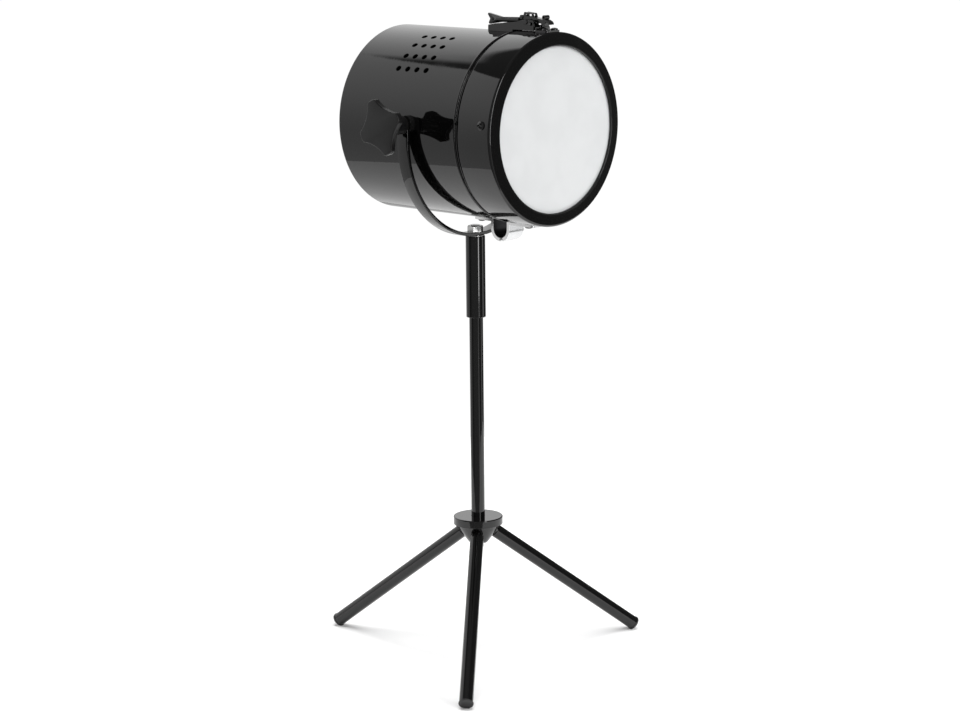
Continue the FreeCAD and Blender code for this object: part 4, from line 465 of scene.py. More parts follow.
def tube(name, place, node, ends, outer, bore, edges=(0, 0, 0, 0), steps=96):
    # edges are roundings: bore and outside at the first end, then outside and bore at the other
    start, end = ends
    corners = ((start, bore), (start, outer), (end, outer), (end, bore))
    turned(name, [(*corner, edge) for corner, edge in zip(corners, edges)], place, node, steps)


def shifted(outline, by):
    return [(by + corner[0], *corner[1:]) for corner in outline]


def softened(name, width, node, segments=2, slot=None):
    # a merged copy of a CAD node with its hard edges broken
    bm = bmesh.new()
    bm.from_mesh(nodes[node].data)
    bmesh.ops.remove_doubles(bm, verts=bm.verts, dist=2e-6)
    bmesh.ops.dissolve_limit(bm, angle_limit=math.radians(0.6), verts=bm.verts, edges=bm.edges,
                             delimit={"NORMAL"})
    mesh = bpy.data.meshes.new(name)
    bm.to_mesh(mesh)
    bm.free()
    return piece(name, brokenEdges(linked("blank", mesh), width, segments, 28.0), node, slot)


def brokenEdges(made, width, segments, angle):
    bevel = made.modifiers.new("broken edges", "BEVEL")
    bevel.width = width * mm
    bevel.segments = segments
    bevel.limit_method = "ANGLE"
    bevel.angle_limit = math.radians(angle)
    bevel.harden_normals = True
    smoothed(made.data, 40.0)
    return baked(made)


def baked(made):
    # the evaluated mesh of an object, which is then dropped
    graph = bpy.context.evaluated_depsgraph_get()
    mesh = bpy.data.meshes.new_from_object(made.evaluated_get(graph), depsgraph=graph)
    bpy.data.objects.remove(made)
    return mesh


# Geometry Nodes

def nodeTree(name, labels):
    # labels: the inputs by kind; returns the graph, its inputs and their identifiers
    tree = bpy.data.node_groups.new(name, "GeometryNodeTree")

    def socket(label, kind, side="INPUT"):
        made = tree.interface.new_socket(label, in_out=side, socket_type="NodeSocket" + kind)
        return made.identifier

    socket("Geometry", "Geometry")
    identifiers = {label: socket(label, kind) for kind, group in labels.items() for label in group}
    socket("Geometry", "Geometry", "OUTPUT")
    graph = Graph(tree)
    entry = tree.nodes.new("NodeGroupInput")
    given = {label: Sock(graph, entry.outputs[label]) for label in ("Geometry", *identifiers)}
    return graph, given, identifiers


def closeTree(graph, result, finishInput):
    real = graph.add("GeometryNodeRealizeInstances", None, {"Geometry": result})
    painted = graph.add("GeometryNodeSetMaterial", None, {"Geometry": real, "Material": finishInput})
    graph.add("NodeGroupOutput", None, {"Geometry": painted})


def runTree(graph, identifiers, mesh, values):
    made = linked("blank", mesh)
    modifier = made.modifiers.new("nodes", "NODES")
    modifier.node_group = graph.tree
    for label, value in values.items():
        modifier[identifiers[label]] = value
    return baked(made)


def screwTree():
    # a pan head with a cross recess and its shank, on every point, turned to the point's facing
    graph, given, identifiers = nodeTree("panHeadScrews", {
        "Float": ("Head Radius", "Head Height", "Recess Width", "Shank Radius", "Shank Length"),
        "Int": ("Seed",), "Material": ("Finish",)})
    radius, height = given["Head Radius"], given["Head Height"]
    wide = radius * 1.15  # the barrel cuts the dome, which leaves the head an upright side
    ball = graph.add("GeometryNodeMeshUVSphere", None, {"Segments": 32, "Rings": 24, "Radius": 1.0})
    dome = graph.moved(ball, Scale=graph.vector(X=wide, Y=wide, Z=height))
    barrel = graph.add("GeometryNodeMeshCylinder", None,
                       {"Vertices": 32, "Radius": radius, "Depth": height * 2})
    keepUp = graph.add("GeometryNodeMeshCube", None, {"Size": (0.02, 0.02, 0.02)})
    head = graph.boolean("INTERSECT", dome, graph.moved(keepUp, Translation=(0, 0, 0.01)), barrel)
    long, narrow, depth = radius * 1.15, given["Recess Width"], height * 1.1
    arms = []
    for x, y in ((long, narrow), (narrow, long)):
        arm = graph.add("GeometryNodeMeshCube", None, {"Size": graph.vector(X=x, Y=y, Z=depth)})
        arms.append(graph.moved(arm, Translation=graph.vector(Z=height)))
    slotted = graph.boolean("DIFFERENCE", head, *arms)
    length = given["Shank Length"]
    shank = graph.add("GeometryNodeMeshCylinder", None,
                      {"Vertices": 24, "Radius": given["Shank Radius"], "Depth": length})
    shank = graph.moved(shank, Translation=graph.vector(Z=0.0002 - length / 2))   # starts in the head
    whole = graph.add("GeometryNodeJoinGeometry", None, {"Geometry": slotted})
    graph.tree.links.new(shank.socket, whole.socket.node.inputs[0])
    facing = graph.add("GeometryNodeInputNamedAttribute", {"data_type": "FLOAT_VECTOR"},
                       {"Name": "facing"})
    aim = graph.add("FunctionNodeAlignRotationToVector", {"axis": "Z"}, {"Vector": facing})
    placed = graph.add("GeometryNodeInstanceOnPoints", None,
                       {"Points": given["Geometry"], "Instance": whole, "Rotation": aim})
    roll = graph.add("FunctionNodeRandomValue", {"data_type": "FLOAT"},
                     {"Min": 0.0, "Max": math.pi / 2, "Seed": given["Seed"]}, out=1)
    rolled = graph.add("GeometryNodeRotateInstances", None, {
        "Instances": placed, "Rotation": graph.vector(Z=roll), "Local Space": True})
    closeTree(graph, rolled, given["Finish"])
    return graph, identifiers


def seats(places):
    # a mesh of bare points that carry the direction they face
    mesh = bpy.data.meshes.new("seats")
    mesh.from_pydata([place for place, facing in places], [], [])
    facings = mesh.attributes.new("facing", "FLOAT_VECTOR", "POINT")
    for index, (place, facing) in enumerate(places):
        facings.data[index].vector = facing
    return mesh


screws, screwInputs = screwTree()


def screwSet(name, places, node, slot=None):
    size = screwSize[name]
    (headRadius, headHeight), (shankRadius, shankLength) = size["head"], size["shank"]
    mesh = runTree(screws, screwInputs, seats(places), {
        "Head Radius": headRadius * mm, "Head Height": headHeight * mm,
        "Recess Width": headRadius * 0.3 * mm, "Shank Radius": shankRadius * mm,
        "Shank Length": shankLength * mm, "Seed": size["seed"],
        "Finish": finish[slot or slotOf[node]]})
    return piece(name, smoothed(mesh, 35.0), node, slot)


# stand

postSize = {"ends": (121.3, 364.0), "radius": 6.35, "bore": 5.15}
sleeveSize = {"ends": (324.0, 399.94), "radius": 9.0, "bore": 6.4, "edge": 0.5}
hubSize = {"top": 134.3, "radius": 23.2, "rim": 7.5, "shoulder": 22.3, "nose": 9.2, "slope": 37.0,
           "socket": 6.4, "socketDepth": 13.0, "bore": 3.2}
legSize = {"radius": 6.35, "bore": 5.15, "edge": 0.3, "gap": 0.8, "joint": 16.2,
           "azimuths": (-51, 69, 189), "footRadius": 6.8, "footLip": 1.6, "plug": 12.0, "land": 0.6}


def makeStand():
    p, s, h, g = postSize, sleeveSize, hubSize, legSize
    tube("postTube", upright, "post_tube", p["ends"], p["radius"], p["bore"])
    tube("sleeveTube", upright, "sleeve", s["ends"], s["radius"], s["bore"],
         (0, s["edge"], s["edge"], 0), 112)
    slope = math.radians(h["slope"])
    coneTop = h["top"] - h["rim"]
    coneFoot = coneTop - (h["shoulder"] - h["nose"]) / math.tan(slope)
    socketFoot = h["top"] - h["socketDepth"]
    turned("hubTurned", [
        (coneFoot, h["bore"]), (coneFoot, h["nose"], 0.5), (coneTop, h["shoulder"], 0.2),
        (coneTop, h["radius"], 0.45), (h["top"], h["radius"], 0.9), (h["top"], h["socket"], 0.35),
        (socketFoot, h["socket"]), (socketFoot, h["bore"])], upright, "hub", steps=192)
    jointHeight = coneTop - (h["shoulder"] - g["joint"]) / math.tan(slope)
    footHeight = g["footRadius"] * math.cos(slope) - g["land"]
    reach = (jointHeight - footHeight) / math.sin(slope)
    for number, azimuth in enumerate(g["azimuths"], start=1):
        a = math.radians(azimuth)
        out = Vector((math.sin(a), -math.cos(a), 0))
        down = out * math.cos(slope) - Vector((0, 0, math.sin(slope)))
        upper = out * math.sin(slope) + Vector((0, 0, math.cos(slope)))
        origin = postPoint(0, 0, jointHeight) + out * g["joint"] * mm
        leg = axisFrame(origin, down, upper)
        tube("legTube%d" % number, leg, "leg_%d" % number, (g["gap"], reach - g["footLip"]),
             g["radius"], g["bore"], (0, g["edge"], 0, 0))
        makeFootCap(number, leg, reach)


def makeFootCap(number, leg, reach):
    g = legSize
    lip = reach - g["footLip"]
    bm = turn(bmesh.new(), rounded([
        (reach, 0), (reach, g["footRadius"], 0.55), (lip, g["footRadius"], 0.25), (lip, g["bore"]),
        (lip - g["plug"], g["bore"], 0.6), (lip - g["plug"], 0)], closed=False), leg, 72, closed=False)
    # worn flat where it meets the floor
    cut = bmesh.ops.bisect_plane(bm, geom=bm.verts[:] + bm.edges[:] + bm.faces[:], dist=1e-9,
                                 plane_co=(0, 0, 0), plane_no=(0, 0, -1), clear_outer=True)
    rim = [edge for edge in cut["geom_cut"] if isinstance(edge, bmesh.types.BMEdge)]
    bmesh.ops.holes_fill(bm, edges=rim, sides=0)
    name = "footCap%d" % number
    piece(name, cleanMesh(bm, name), "foot_cap_%d" % number)


makeStand()
print("stand turned")


# threads

def threaded(name, place, start, end, radius, inner, pitch, depth, node, steps=36, lead=0.6):
    # a rod or a thin shell whose surface carries a real helix; inner 0 makes a rod
    rows = max(8, round((end - start) / pitch * 12))
    bm = bmesh.new()
    grid = []
    for row in range(rows + 1):
        along = start + (end - start) * row / rows
        fade = min(1.0, (along - start) / lead, (end - along) / lead)

        def wavy(angle):
            return radius - depth * fade * (0.5 - 0.5 * math.cos(2 * math.pi * along / pitch - angle))

        grid.append(hoop(bm, place, along, wavy, steps))
    if inner:
        grid += [hoop(bm, place, along, inner, steps) for along in (end, start)]
    else:
        bm.faces.new(grid[0])
        bm.faces.new(grid[-1])
    skin(bm, grid, closed=inner > 0)
    return piece(name, cleanMesh(bm, name, 50.0), node)


swivelSize = {"studFoot": 381.94, "studTop": 410.14, "radius": 4.0, "pitch": 1.25, "depth": 0.6,
              "washer": (399.94, 400.74), "washerRadius": 8.4, "washerEdge": 0.25}


def makeSwivel():
    w = swivelSize
    threaded("swivelStud", upright, w["studFoot"], w["studTop"], w["radius"], 0, w["pitch"],
             w["depth"], "swivel_stud")
    softened("swivelNut", 0.25, "swivel_nut", segments=3)
    tube("swivelWasher", upright, "swivel_washer", w["washer"], w["washerRadius"], w["radius"],
         (0, w["washerEdge"], w["washerEdge"], 0), 80)


makeSwivel()


# yoke: a flat blank with round ends, bent along its path

yokeSize = {"radius": 93.2, "thick": 3.2, "width": 12.7, "bowCentre": -10.8, "land": 9.0,
            "armTop": 12.35, "edge": 0.55, "end": 6.2}


def yokePath():
    # middle line of the strap as (across, up, distance), from the left arm top round to the right
    y = yokeSize
    middle = y["radius"] - y["thick"] / 2
    depth = math.sqrt(y["radius"] ** 2 - y["land"] ** 2) - y["thick"] / 2
    landAngle = math.acos(depth / middle)
    spots = []
    for step in range(25):
        spots.append((-middle, y["armTop"] - (y["armTop"] - y["bowCentre"]) * step / 24))
    for step in range(1, 73):
        angle = math.pi / 2 - (math.pi / 2 - landAngle) * step / 72
        spots.append((-middle * math.sin(angle), y["bowCentre"] - middle * math.cos(angle)))
    spots += [(-x, up) for x, up in reversed(spots)]
    return spots


def makeYoke():
    y = yokeSize
    spots = [Vector(spot) for spot in yokePath()]
    lengths = [0.0]
    for one, two in zip(spots, spots[1:]):
        lengths.append(lengths[-1] + (two - one).length)
    total = lengths[-1]
    # finer stations over the rounded ends
    ends = [y["end"] * (1 - math.cos(math.pi / 2 * k / 10)) for k in range(11)]
    stations = sorted({round(v, 5) for v in ends + [total - v for v in ends]
                       + [v for v in lengths if y["end"] < v < total - y["end"]]})
    bm = bmesh.new()
    rings = []
    for distance in stations:
        index = max(k for k, v in enumerate(lengths) if v <= distance + 1e-6)
        index = min(index, len(spots) - 2)
        share = (distance - lengths[index]) / (lengths[index + 1] - lengths[index])
        spot = spots[index].lerp(spots[index + 1], share)
        along = (spots[min(index + 2, len(spots) - 1)] - spots[max(index - 1, 0)]).normalized()
        outward = Vector((along.y, -along.x))
        if outward.dot(spot - Vector((0, y["bowCentre"]))) < 0:
            outward = -outward
        inset = max(0.0, y["end"] - min(distance, total - distance))   # within a rounded end
        half = y["width"] / 2 - y["end"] + math.sqrt(max(0.0, y["end"] ** 2 - inset ** 2))
        edge, t = min(y["edge"], half * 0.45), y["thick"] / 2
        ring = []
        for quarter, (sx, sy) in enumerate(((1, 1), (-1, 1), (-1, -1), (1, -1))):
            for step in range(5):
                angle = math.radians(90 * quarter + 22.5 * step)
                flat = spot + outward * (sy * (t - edge) + edge * math.sin(angle))
                across = sx * (half - edge) + edge * math.cos(angle)
                ring.append(bm.verts.new(headPoint(flat.x, across, flat.y)))
        rings.append(ring)
    skin(bm, rings)
    bm.faces.new(rings[0])
    bm.faces.new(rings[-1])
    piece("yokeStrap", cleanMesh(bm, "yokeStrap", 40.0), "yoke_strap")


makeYoke()
print("yoke bent")


# drum

drumSize = {"radius": 85.0, "wall": 1.2, "front": 58.6, "rear": -90.0, "corner": 2.0, "flange": 72.0,
            "bead": 55.9, "beadRadius": 1.3, "steps": 240}
ventSize = {"radius": 2.6, "flare": 0.35, "angle": 22.6, "step": 9.75, "rearmost": -29.5,
            "pitch": 11.45, "columns": 4, "rows": 4}


def drumOutline():
    d = drumSize
    outer, inner = d["radius"], d["radius"] - d["wall"]
    bead = []
    for step in range(13):
        angle = math.pi * step / 12
        bead.append((d["bead"] - d["beadRadius"] * math.cos(angle),
                     outer + d["beadRadius"] * math.sin(angle)))
    return rounded([
        (d["rear"], d["flange"], 0.4), (d["rear"], outer, d["corner"]),
        (bead[0][0] - 0.25, outer)] + bead + [(bead[-1][0] + 0.2, outer),
        (d["front"], outer, 0.4), (d["front"], inner, 0.4),
        (d["rear"] + d["wall"], inner, 0.8), (d["rear"] + d["wall"], d["flange"], 0.4)])


def ventTree():
    # punches rows of flared holes through a shell that is turned about Y
    graph, given, identifiers = nodeTree("ventHoles", {
        "Float": ("Drum Radius", "Hole Radius", "Flare", "Rearmost", "Pitch", "First Angle",
                  "Angle Step"),
        "Vector": ("Axis",), "Int": ("Columns", "Rows"), "Material": ("Finish",)})
    columns, rows = given["Columns"], given["Rows"]
    line = graph.add("GeometryNodeMeshLine", {"mode": "OFFSET"},
                     {"Count": columns * rows * 2, "Offset": (0, 0, 0)})
    index = graph.add("GeometryNodeInputIndex")
    column = index.maths("MODULO", columns)
    row = (index / columns).maths("FLOOR").maths("MODULO", rows)
    side = 1.0 - 2.0 * (index / (columns * rows)).maths("FLOOR")
    angle = side * (given["First Angle"] + row * given["Angle Step"])
    radius, hole, flare = given["Drum Radius"], given["Hole Radius"], given["Flare"]
    spot = graph.vector(X=radius * angle.maths("SINE"), Z=radius * angle.maths("COSINE"),
                        Y=-1.0 * (given["Rearmost"] + column * given["Pitch"]))
    spot = graph.add("ShaderNodeVectorMath", {"operation": "ADD"}, {0: spot, 1: given["Axis"]})
    points = graph.add("GeometryNodeSetPosition", None, {"Geometry": line, "Position": spot})
    punch = graph.add("GeometryNodeMeshCylinder", None, {"Vertices": 40, "Radius": hole, "Depth": 0.008})
    mouth = graph.add("GeometryNodeMeshCone", None, {
        "Vertices": 40, "Radius Top": hole + flare * 3.0, "Radius Bottom": hole - flare * 0.01,
        "Depth": flare * 3.0})
    mouth = graph.moved(mouth, Translation=graph.vector(Z=-1.0 * flare))
    tools = graph.add("GeometryNodeInstanceOnPoints", None, {
        "Points": points, "Instance": graph.boolean("UNION", punch, mouth),
        "Rotation": graph.vector(Y=angle)})
    tools = graph.add("GeometryNodeRealizeInstances", None, {"Geometry": tools})
    cut = graph.boolean("DIFFERENCE", given["Geometry"], tools)
    closeTree(graph, cut, given["Finish"])
    return graph, identifiers


def makeDrum():
    d, v = drumSize, ventSize
    blank = cleanMesh(turn(bmesh.new(), drumOutline(), ahead, d["steps"]), "drumBlank")
    vents, ventInputs = ventTree()
    mesh = runTree(vents, ventInputs, blank, {
        "Axis": headPoint(0, 0, 0), "Drum Radius": d["radius"] * mm, "Hole Radius": v["radius"] * mm,
        "Flare": v["flare"] * mm, "Columns": v["columns"], "Rows": v["rows"],
        "Rearmost": v["rearmost"] * mm, "Pitch": v["pitch"] * mm,
        "First Angle": math.radians(v["angle"]), "Angle Step": math.radians(v["step"]),
        "Finish": finish["black_enamel"]})
    smoothed(mesh, 32.0)
    trueRound(mesh, [d["radius"], d["radius"] - d["wall"]])
    piece("drumShell", mesh, "drum")


def trueRound(mesh, radii):
    # faces of the plain cylinder get its exact normals, so that the holes leave no dents in the gloss
    def exact(face, out, along, normal):
        middle = face.center - headPoint(0, 0, 0)
        radial = Vector((middle.x, 0, middle.z))
        straight = abs(face.normal.y) <= 0.02 and abs(face.normal.dot(radial.normalized())) >= 0.999
        on = all(min(abs(v / mm - r) for r in radii) < gap for v, gap in
                 ((radial.length, 0.25), (out.length, 0.05)))
        side = math.copysign(1, face.normal.dot(radial))
        return out.normalized() * side if straight and on else normal

    faceted(mesh, exact)


makeDrum()
print("drum turned and punched")

collarSize = {"ends": (49.5, 68.0), "outer": 83.78, "inner": 82.58, "edge": 0.4}


def makeCollar():
    c = collarSize
    tube("frontCollar", ahead, "front_collar", c["ends"], c["outer"], c["inner"],
         (0, 0, c["edge"], c["edge"]), 240)


coverSize = {"radius": 82.0, "dish": 62.0, "rear": -88.8, "wall": 1.2, "depth": 3.0}


def makeRearCover():
    s = coverSize
    inside, outside = s["rear"] + s["wall"], s["rear"]
    dished = s["dish"] - s["depth"]
    turned("rearCover", [
        (inside - s["depth"], 0), (inside - s["depth"], dished, 1.2), (inside, s["dish"], 2.2),
        (inside, s["radius"], 0.3), (outside, s["radius"], 0.3), (outside, s["dish"], 1.2),
        (outside - s["depth"], dished, 2.2), (outside - s["depth"], 0)],
        ahead, "rear_cover", steps=192, closed=False)


glandSize = {"drop": 48.5, "bore": 3.6, "mouth": 1.8, "flange": 9.0, "flangeThick": 3.0, "neck": 6.0,
             "inner": -87.6, "outer": -99.8, "gripPitch": 1.6, "gripDepth": 0.45, "gripWidth": 0.35}


def makeGland():
    g = glandSize
    place = axisFrame(headPoint(0, 0, -g["drop"]), (0, -1, 0))
    shoulder = g["inner"] - g["flangeThick"]
    low, wide = g["neck"] - g["gripDepth"], g["gripWidth"]
    corners = [(g["inner"], g["bore"] + g["mouth"]), (g["inner"], g["flange"], 0.4),
               (shoulder, g["flange"], 0.4), (shoulder, g["neck"], 0.3)]
    ring = shoulder - 2.4
    while ring > g["outer"] + 2.4:   # grip rings on the neck
        corners += [(ring, g["neck"], 0.15), (ring - wide, low, 0.15),
                    (ring - 2 * wide, low, 0.15), (ring - 3 * wide, g["neck"], 0.15)]
        ring -= g["gripPitch"]
    corners += [(g["outer"] + 2, g["neck"], 0.4), (g["outer"], g["bore"] + 1.0, 0.4),
                (g["outer"], g["bore"], 0.3), (shoulder, g["bore"])]
    turned("cableInlet", corners, place, "cable_gland", steps=96)


makeCollar()
makeRearCover()
makeGland()
print("rear cover and inlet made")


# tilt axis and knobs

studSize = {"radius": 4.0, "pitch": 1.25, "depth": 0.6}
knobSize = {"face": 122.0, "thick": 5.5, "radius": 25.5, "waist": 18.0, "scallop": 36.0, "round": 3.5,
            "edge": 0.9, "back": 0.6, "boss": 8.5, "bossEnd": 93.4, "bore": 4.05, "skirt": 1.7,
            "sunk": 1.5, "lobe": 24.0}


def starOutline():
    # points and outward normals round the four lobes, hollows at 0, 90, 180 and 270 degrees
    k = knobSize
    hollow = k["waist"] + k["scallop"]
    centreRadius = k["radius"] - k["round"]
    reach = k["scallop"] + k["round"]
    beta = math.acos((centreRadius ** 2 + hollow ** 2 - reach ** 2) / (2 * centreRadius * hollow))
    centre = Vector((math.cos(beta), math.sin(beta))) * centreRadius
    middle = Vector((hollow, 0))
    toward = math.atan2(centre.y, centre.x - hollow)
    points = []
    for quarter in range(4):
        spin = Matrix.Rotation(quarter * math.pi / 2, 2)
        run = []
        for step in range(13):   # hollow, from its middle to the lobe
            angle = math.pi + (toward - math.pi) * step / 12
            normal = -Vector((math.cos(angle), math.sin(angle)))
            run.append((middle - normal * k["scallop"], normal))
        back = math.atan2((middle - centre).y, (middle - centre).x)
        for step in range(1, 13):   # lobe corner
            angle = back + (beta - back) * step / 12
            normal = Vector((math.cos(angle), math.sin(angle)))
            run.append((centre + normal * k["round"], normal))
        for step in range(1, 3):
            angle = beta + (math.pi / 4 - beta) * step / 2
            normal = Vector((math.cos(angle), math.sin(angle)))
            run.append((normal * k["radius"], normal))
        mirrored = [(Vector((p.y, p.x)), Vector((n.y, n.x))) for p, n in reversed(run[1:-1])]
        points += [(spin @ p, spin @ n) for p, n in run + mirrored]
    return points


def makeKnob(name, side, node):
    k = knobSize
    place = axisFrame(headPoint(0, 0, lamp["pivotRise"]), (side, 0, 0), (0, -1, 0))
    twist = Matrix.Rotation(math.radians(k["lobe"] + 45) * (1 if side < 0 else -1), 2)
    outline = [(twist @ p, twist @ n) for p, n in starOutline()]
    start = k["face"] - k["thick"]
    # layers are (along the stud, how far the outline draws in)
    curve = [(1 - math.cos(math.pi / 2 * s / 4), 1 - math.sin(math.pi / 2 * s / 4)) for s in range(5)]
    layers = [(start + k["back"] * rise, k["back"] * inset) for rise, inset in curve]
    layers += [(start + k["back"] + 0.15, 0.0), (k["face"] - k["edge"] - 0.15, 0.0)]
    curve = [(1 - math.sin(math.pi / 2 * s / 6), 1 - math.cos(math.pi / 2 * s / 6)) for s in range(7)]
    layers += [(k["face"] - k["edge"] * fall, k["edge"] * inset) for fall, inset in curve]
    bm = bmesh.new()
    rings = [[bm.verts.new(place @ Vector((*(p - n * inset), along))) for p, n in outline]
             for along, inset in layers]
    skin(bm, rings)
    bm.faces.new(rings[0])
    bm.faces.new(rings[-1])
    boss = rounded([(k["bossEnd"], k["bore"]), (k["bossEnd"], k["boss"] - 0.3, 0.4),
                    (start - 1.6, k["boss"]), (start - 0.4, k["boss"] + 0.5),
                    (start + 0.3, k["boss"] + k["skirt"]), (start + k["sunk"], k["boss"] + k["skirt"]),
                    (start + k["sunk"], k["bore"])])
    turn(bm, boss, place, 72)
    piece(name, cleanMesh(bm, name, 30.0), node)


def makeTrunnions():
    t = studSize
    for label, side in (("left", -1), ("right", 1)):
        place = axisFrame(headPoint(0, 0, lamp["pivotRise"]), (side, 0, 0))
        title = label.capitalize()
        makeKnob("knob" + title, side, "knob_" + label)
        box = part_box("knob_stud_" + label)
        start, end = sorted(abs(corner.x / mm - lamp["postX"]) for corner in box)
        threaded("knobStud" + title, place, start, end, t["radius"], 0, t["pitch"], t["depth"],
                 "knob_stud_" + label)
        softened("trunnionSpacer" + title, 0.3, "trunnion_spacer_" + label, segments=3)
        softened("trunnionNut" + title, 0.3, "trunnion_nut_" + label)


makeTrunnions()
print("knobs made")


# front door

bezelSize = {"radius": 86.6, "wall": 1.2, "rear": 60.9, "hem": 0.9, "shoulder": 99.2, "corner": 2.4,
             "front": 101.2, "mouth": 74.3, "nose": 0.9, "lip": 98.6, "lean": 3.0}
glassSize = {"radius": 79.0, "rear": 95.6, "front": 98.6, "edge": 0.5}
ringSize = {"outer": 85.2, "wall": 1.2, "mouth": 76.0, "rear": 84.6, "front": 95.6}


def crowned(mesh, radius, start, end, lean):
    # the pressed side wall leans a little towards its front corner, which shows only in its gloss
    def leant(face, out, along, normal):
        tilt = math.atan2(-normal.y, normal.dot(out.normalized()))
        if abs(out.length / mm - radius) > 1.5 or not start <= along <= end + 2 or tilt < -0.01:
            return normal
        tilt = max(tilt, math.radians(lean) * min(1.0, (along - start) / 2))
        return out.normalized() * math.cos(tilt) - Vector((0, 1, 0)) * math.sin(tilt)

    faceted(mesh, leant)


def makeDoor():
    b = bezelSize
    inner = b["radius"] - b["wall"]
    ring = turned("bezelRing", [
        (b["rear"], inner, 0.3), (b["rear"], b["radius"], b["hem"]),
        (b["shoulder"], b["radius"], b["corner"]), (b["front"], b["mouth"], b["nose"]),
        (b["lip"], b["mouth"], 0.2), (b["lip"], b["mouth"] + b["wall"], 0.2),
        (b["front"] - b["wall"] - 0.1, b["mouth"] + b["wall"], 0.3),
        (b["shoulder"] - b["wall"], inner, 1.2)], ahead, "bezel", steps=256)
    crowned(ring.data, b["radius"], b["rear"] + b["hem"], b["shoulder"] - b["corner"], b["lean"])
    g = glassSize
    turned("frontGlass", [(g["rear"], 0), (g["rear"], g["radius"], g["edge"]),
                          (g["front"], g["radius"], g["edge"]), (g["front"], 0)],
           ahead, "diffuser", steps=192, closed=False)
    r = ringSize
    turned("retainingRing", [
        (r["front"] - r["wall"], r["mouth"], 0.3), (r["front"] - r["wall"], r["outer"] - r["wall"], 0.8),
        (r["rear"], r["outer"] - r["wall"], 0.3), (r["rear"], r["outer"], 0.3),
        (r["front"], r["outer"], 1.0), (r["front"], r["mouth"], 0.3)],
        ahead, "retaining_ring", steps=192)


makeDoor()
print("door made")


# screws and rivets

# Screws sit on a circle about the drum's axis, or a spread apart. Heads and shanks are (radius, length).
screwSize = {
    "bezelScrews": {"circle": 86.55, "ahead": 89.1, "first": 82.9, "head": (3.9, 2.1),
                    "shank": (2.0, 5.0), "seed": 3},
    "coverScrews": {"circle": 77.5, "ahead": -90.0, "first": 0.0, "head": (3.4, 1.8),
                    "shank": (2.0, 7.0), "seed": 5},
    "bracketScrews": {"spread": 29.0, "ahead": -91.8, "head": (3.4, 1.8),
                      "shank": (2.0, 7.0), "seed": 7},
    "hingeScrewsDrum": {"spread": 6.0, "ahead": 14.5, "up": -87.0, "head": (3.4, 1.8),
                        "shank": (2.0, 4.7), "seed": 11},
    "hingeScrewsDoor": {"spread": 6.0, "ahead": 72.0, "up": -88.6, "head": (3.4, 1.8),
                        "shank": (2.0, 4.7), "seed": 13},
    "keeperScrews": {"spread": 5.6, "ahead": 93.0, "up": 88.0, "head": (3.4, 1.9),
                     "shank": (1.6, 3.0), "seed": 17}}


def circleSeats(size, facingRear):
    places = []
    for number in range(3):
        a = math.radians(size["first"] + 120 * number)
        out = Vector((-math.sin(a), 0, math.cos(a)))
        spot = headPoint(out.x * size["circle"], size["ahead"], out.z * size["circle"])
        places.append((spot, Vector((0, 1, 0)) if facingRear else out))
    return places


def pairSeats(size):
    facing = Vector((0, 0, math.copysign(1, size["up"])))
    return [(headPoint(side * size["spread"], size["ahead"], size["up"]), facing) for side in (-1, 1)]


def makeScrews():
    s = screwSize
    rear = s["bracketScrews"]
    screwSet("bezelScrews", circleSeats(s["bezelScrews"], False), "bezel_screws")
    screwSet("coverScrews", circleSeats(s["coverScrews"], True), "rear_cover_screws")
    screwSet("bracketScrews", [(headPoint(0, rear["ahead"], side * rear["spread"]), Vector((0, 1, 0)))
                               for side in (-1, 1)], "bracket_screws")
    for name, node in (("hingeScrewsDrum", "hinge_screws_drum"),
                       ("hingeScrewsDoor", "hinge_screws_door"), ("keeperScrews", "keeper_screws")):
        screwSet(name, pairSeats(s[name]), node, "black_hardware")


makeScrews()
print("screws set")


# hinge and latch

pinSize = {"ahead": 40.4, "up": -102.9, "half": 10.5, "radius": 1.1, "round": 0.35}


def makeHinge():
    softened("hingeLeafDrum", 0.35, "hinge_leaf_drum", segments=3)
    softened("hingeLeafDoor", 0.35, "hinge_leaf_door", segments=3)
    p = pinSize
    turned("hingePin", [(-p["half"], 0), (-p["half"], p["radius"], p["round"]),
                        (p["half"], p["radius"], p["round"]), (p["half"], 0)],
           axisFrame(headPoint(0, p["ahead"], p["up"]), (1, 0, 0)), "hinge_pin", steps=40, closed=False)


# Latch outlines are (ahead, up, corner rounding); windows are (rear, front, foot, top).
latchSize = {
    "half": 6.5, "inside": 5.1, "seat": 85.05, "edge": 0.22,
    "side": ((24.4, 84.0), (24.5, 90.2, 0.9), (33.0, 91.7, 6), (58.0, 94.2, 6), (66.4, 96.3, 1.2),
             (79.4, 96.3, 1.6), (79.4, 87.2, 1.2), (54.2, 87.2, 0.3), (54.2, 84.0)),
    "channel": ((26.4, 88.1), (26.4, 120), (90, 120), (90, 89.3), (58.6, 89.3), (57.4, 88.1)),
    "earWindow": (74.4, 77.9, 91.6, 94.4)}
leverSize = {
    "half": 1.3, "rib": 1.8, "ribFrom": (30.5, 95.0), "ribTo": (56.0, 95.6), "ribRadius": 0.75,
    "hole": (25.8, 95.0), "holeRadius": 1.2, "edge": 0.25,
    "side": ((66.8, 92.9, 1), (37.4, 92.8, 4), (21.8, 90.4, 0.6), (20.4, 91.6, 0.6), (22.4, 95.2, 0.8),
             (19.6, 98.9, 0.5), (20.1, 100.4, 0.4), (36.8, 97.3, 6), (58.0, 98.0, 2), (60.4, 99.9, 1),
             (63.6, 99.9, 1), (66.6, 98.2, 1), (73.2, 95.8, 1), (73.2, 93.4, 1), (71.0, 91.4, 0.8),
             (69.0, 91.4, 0.8))}
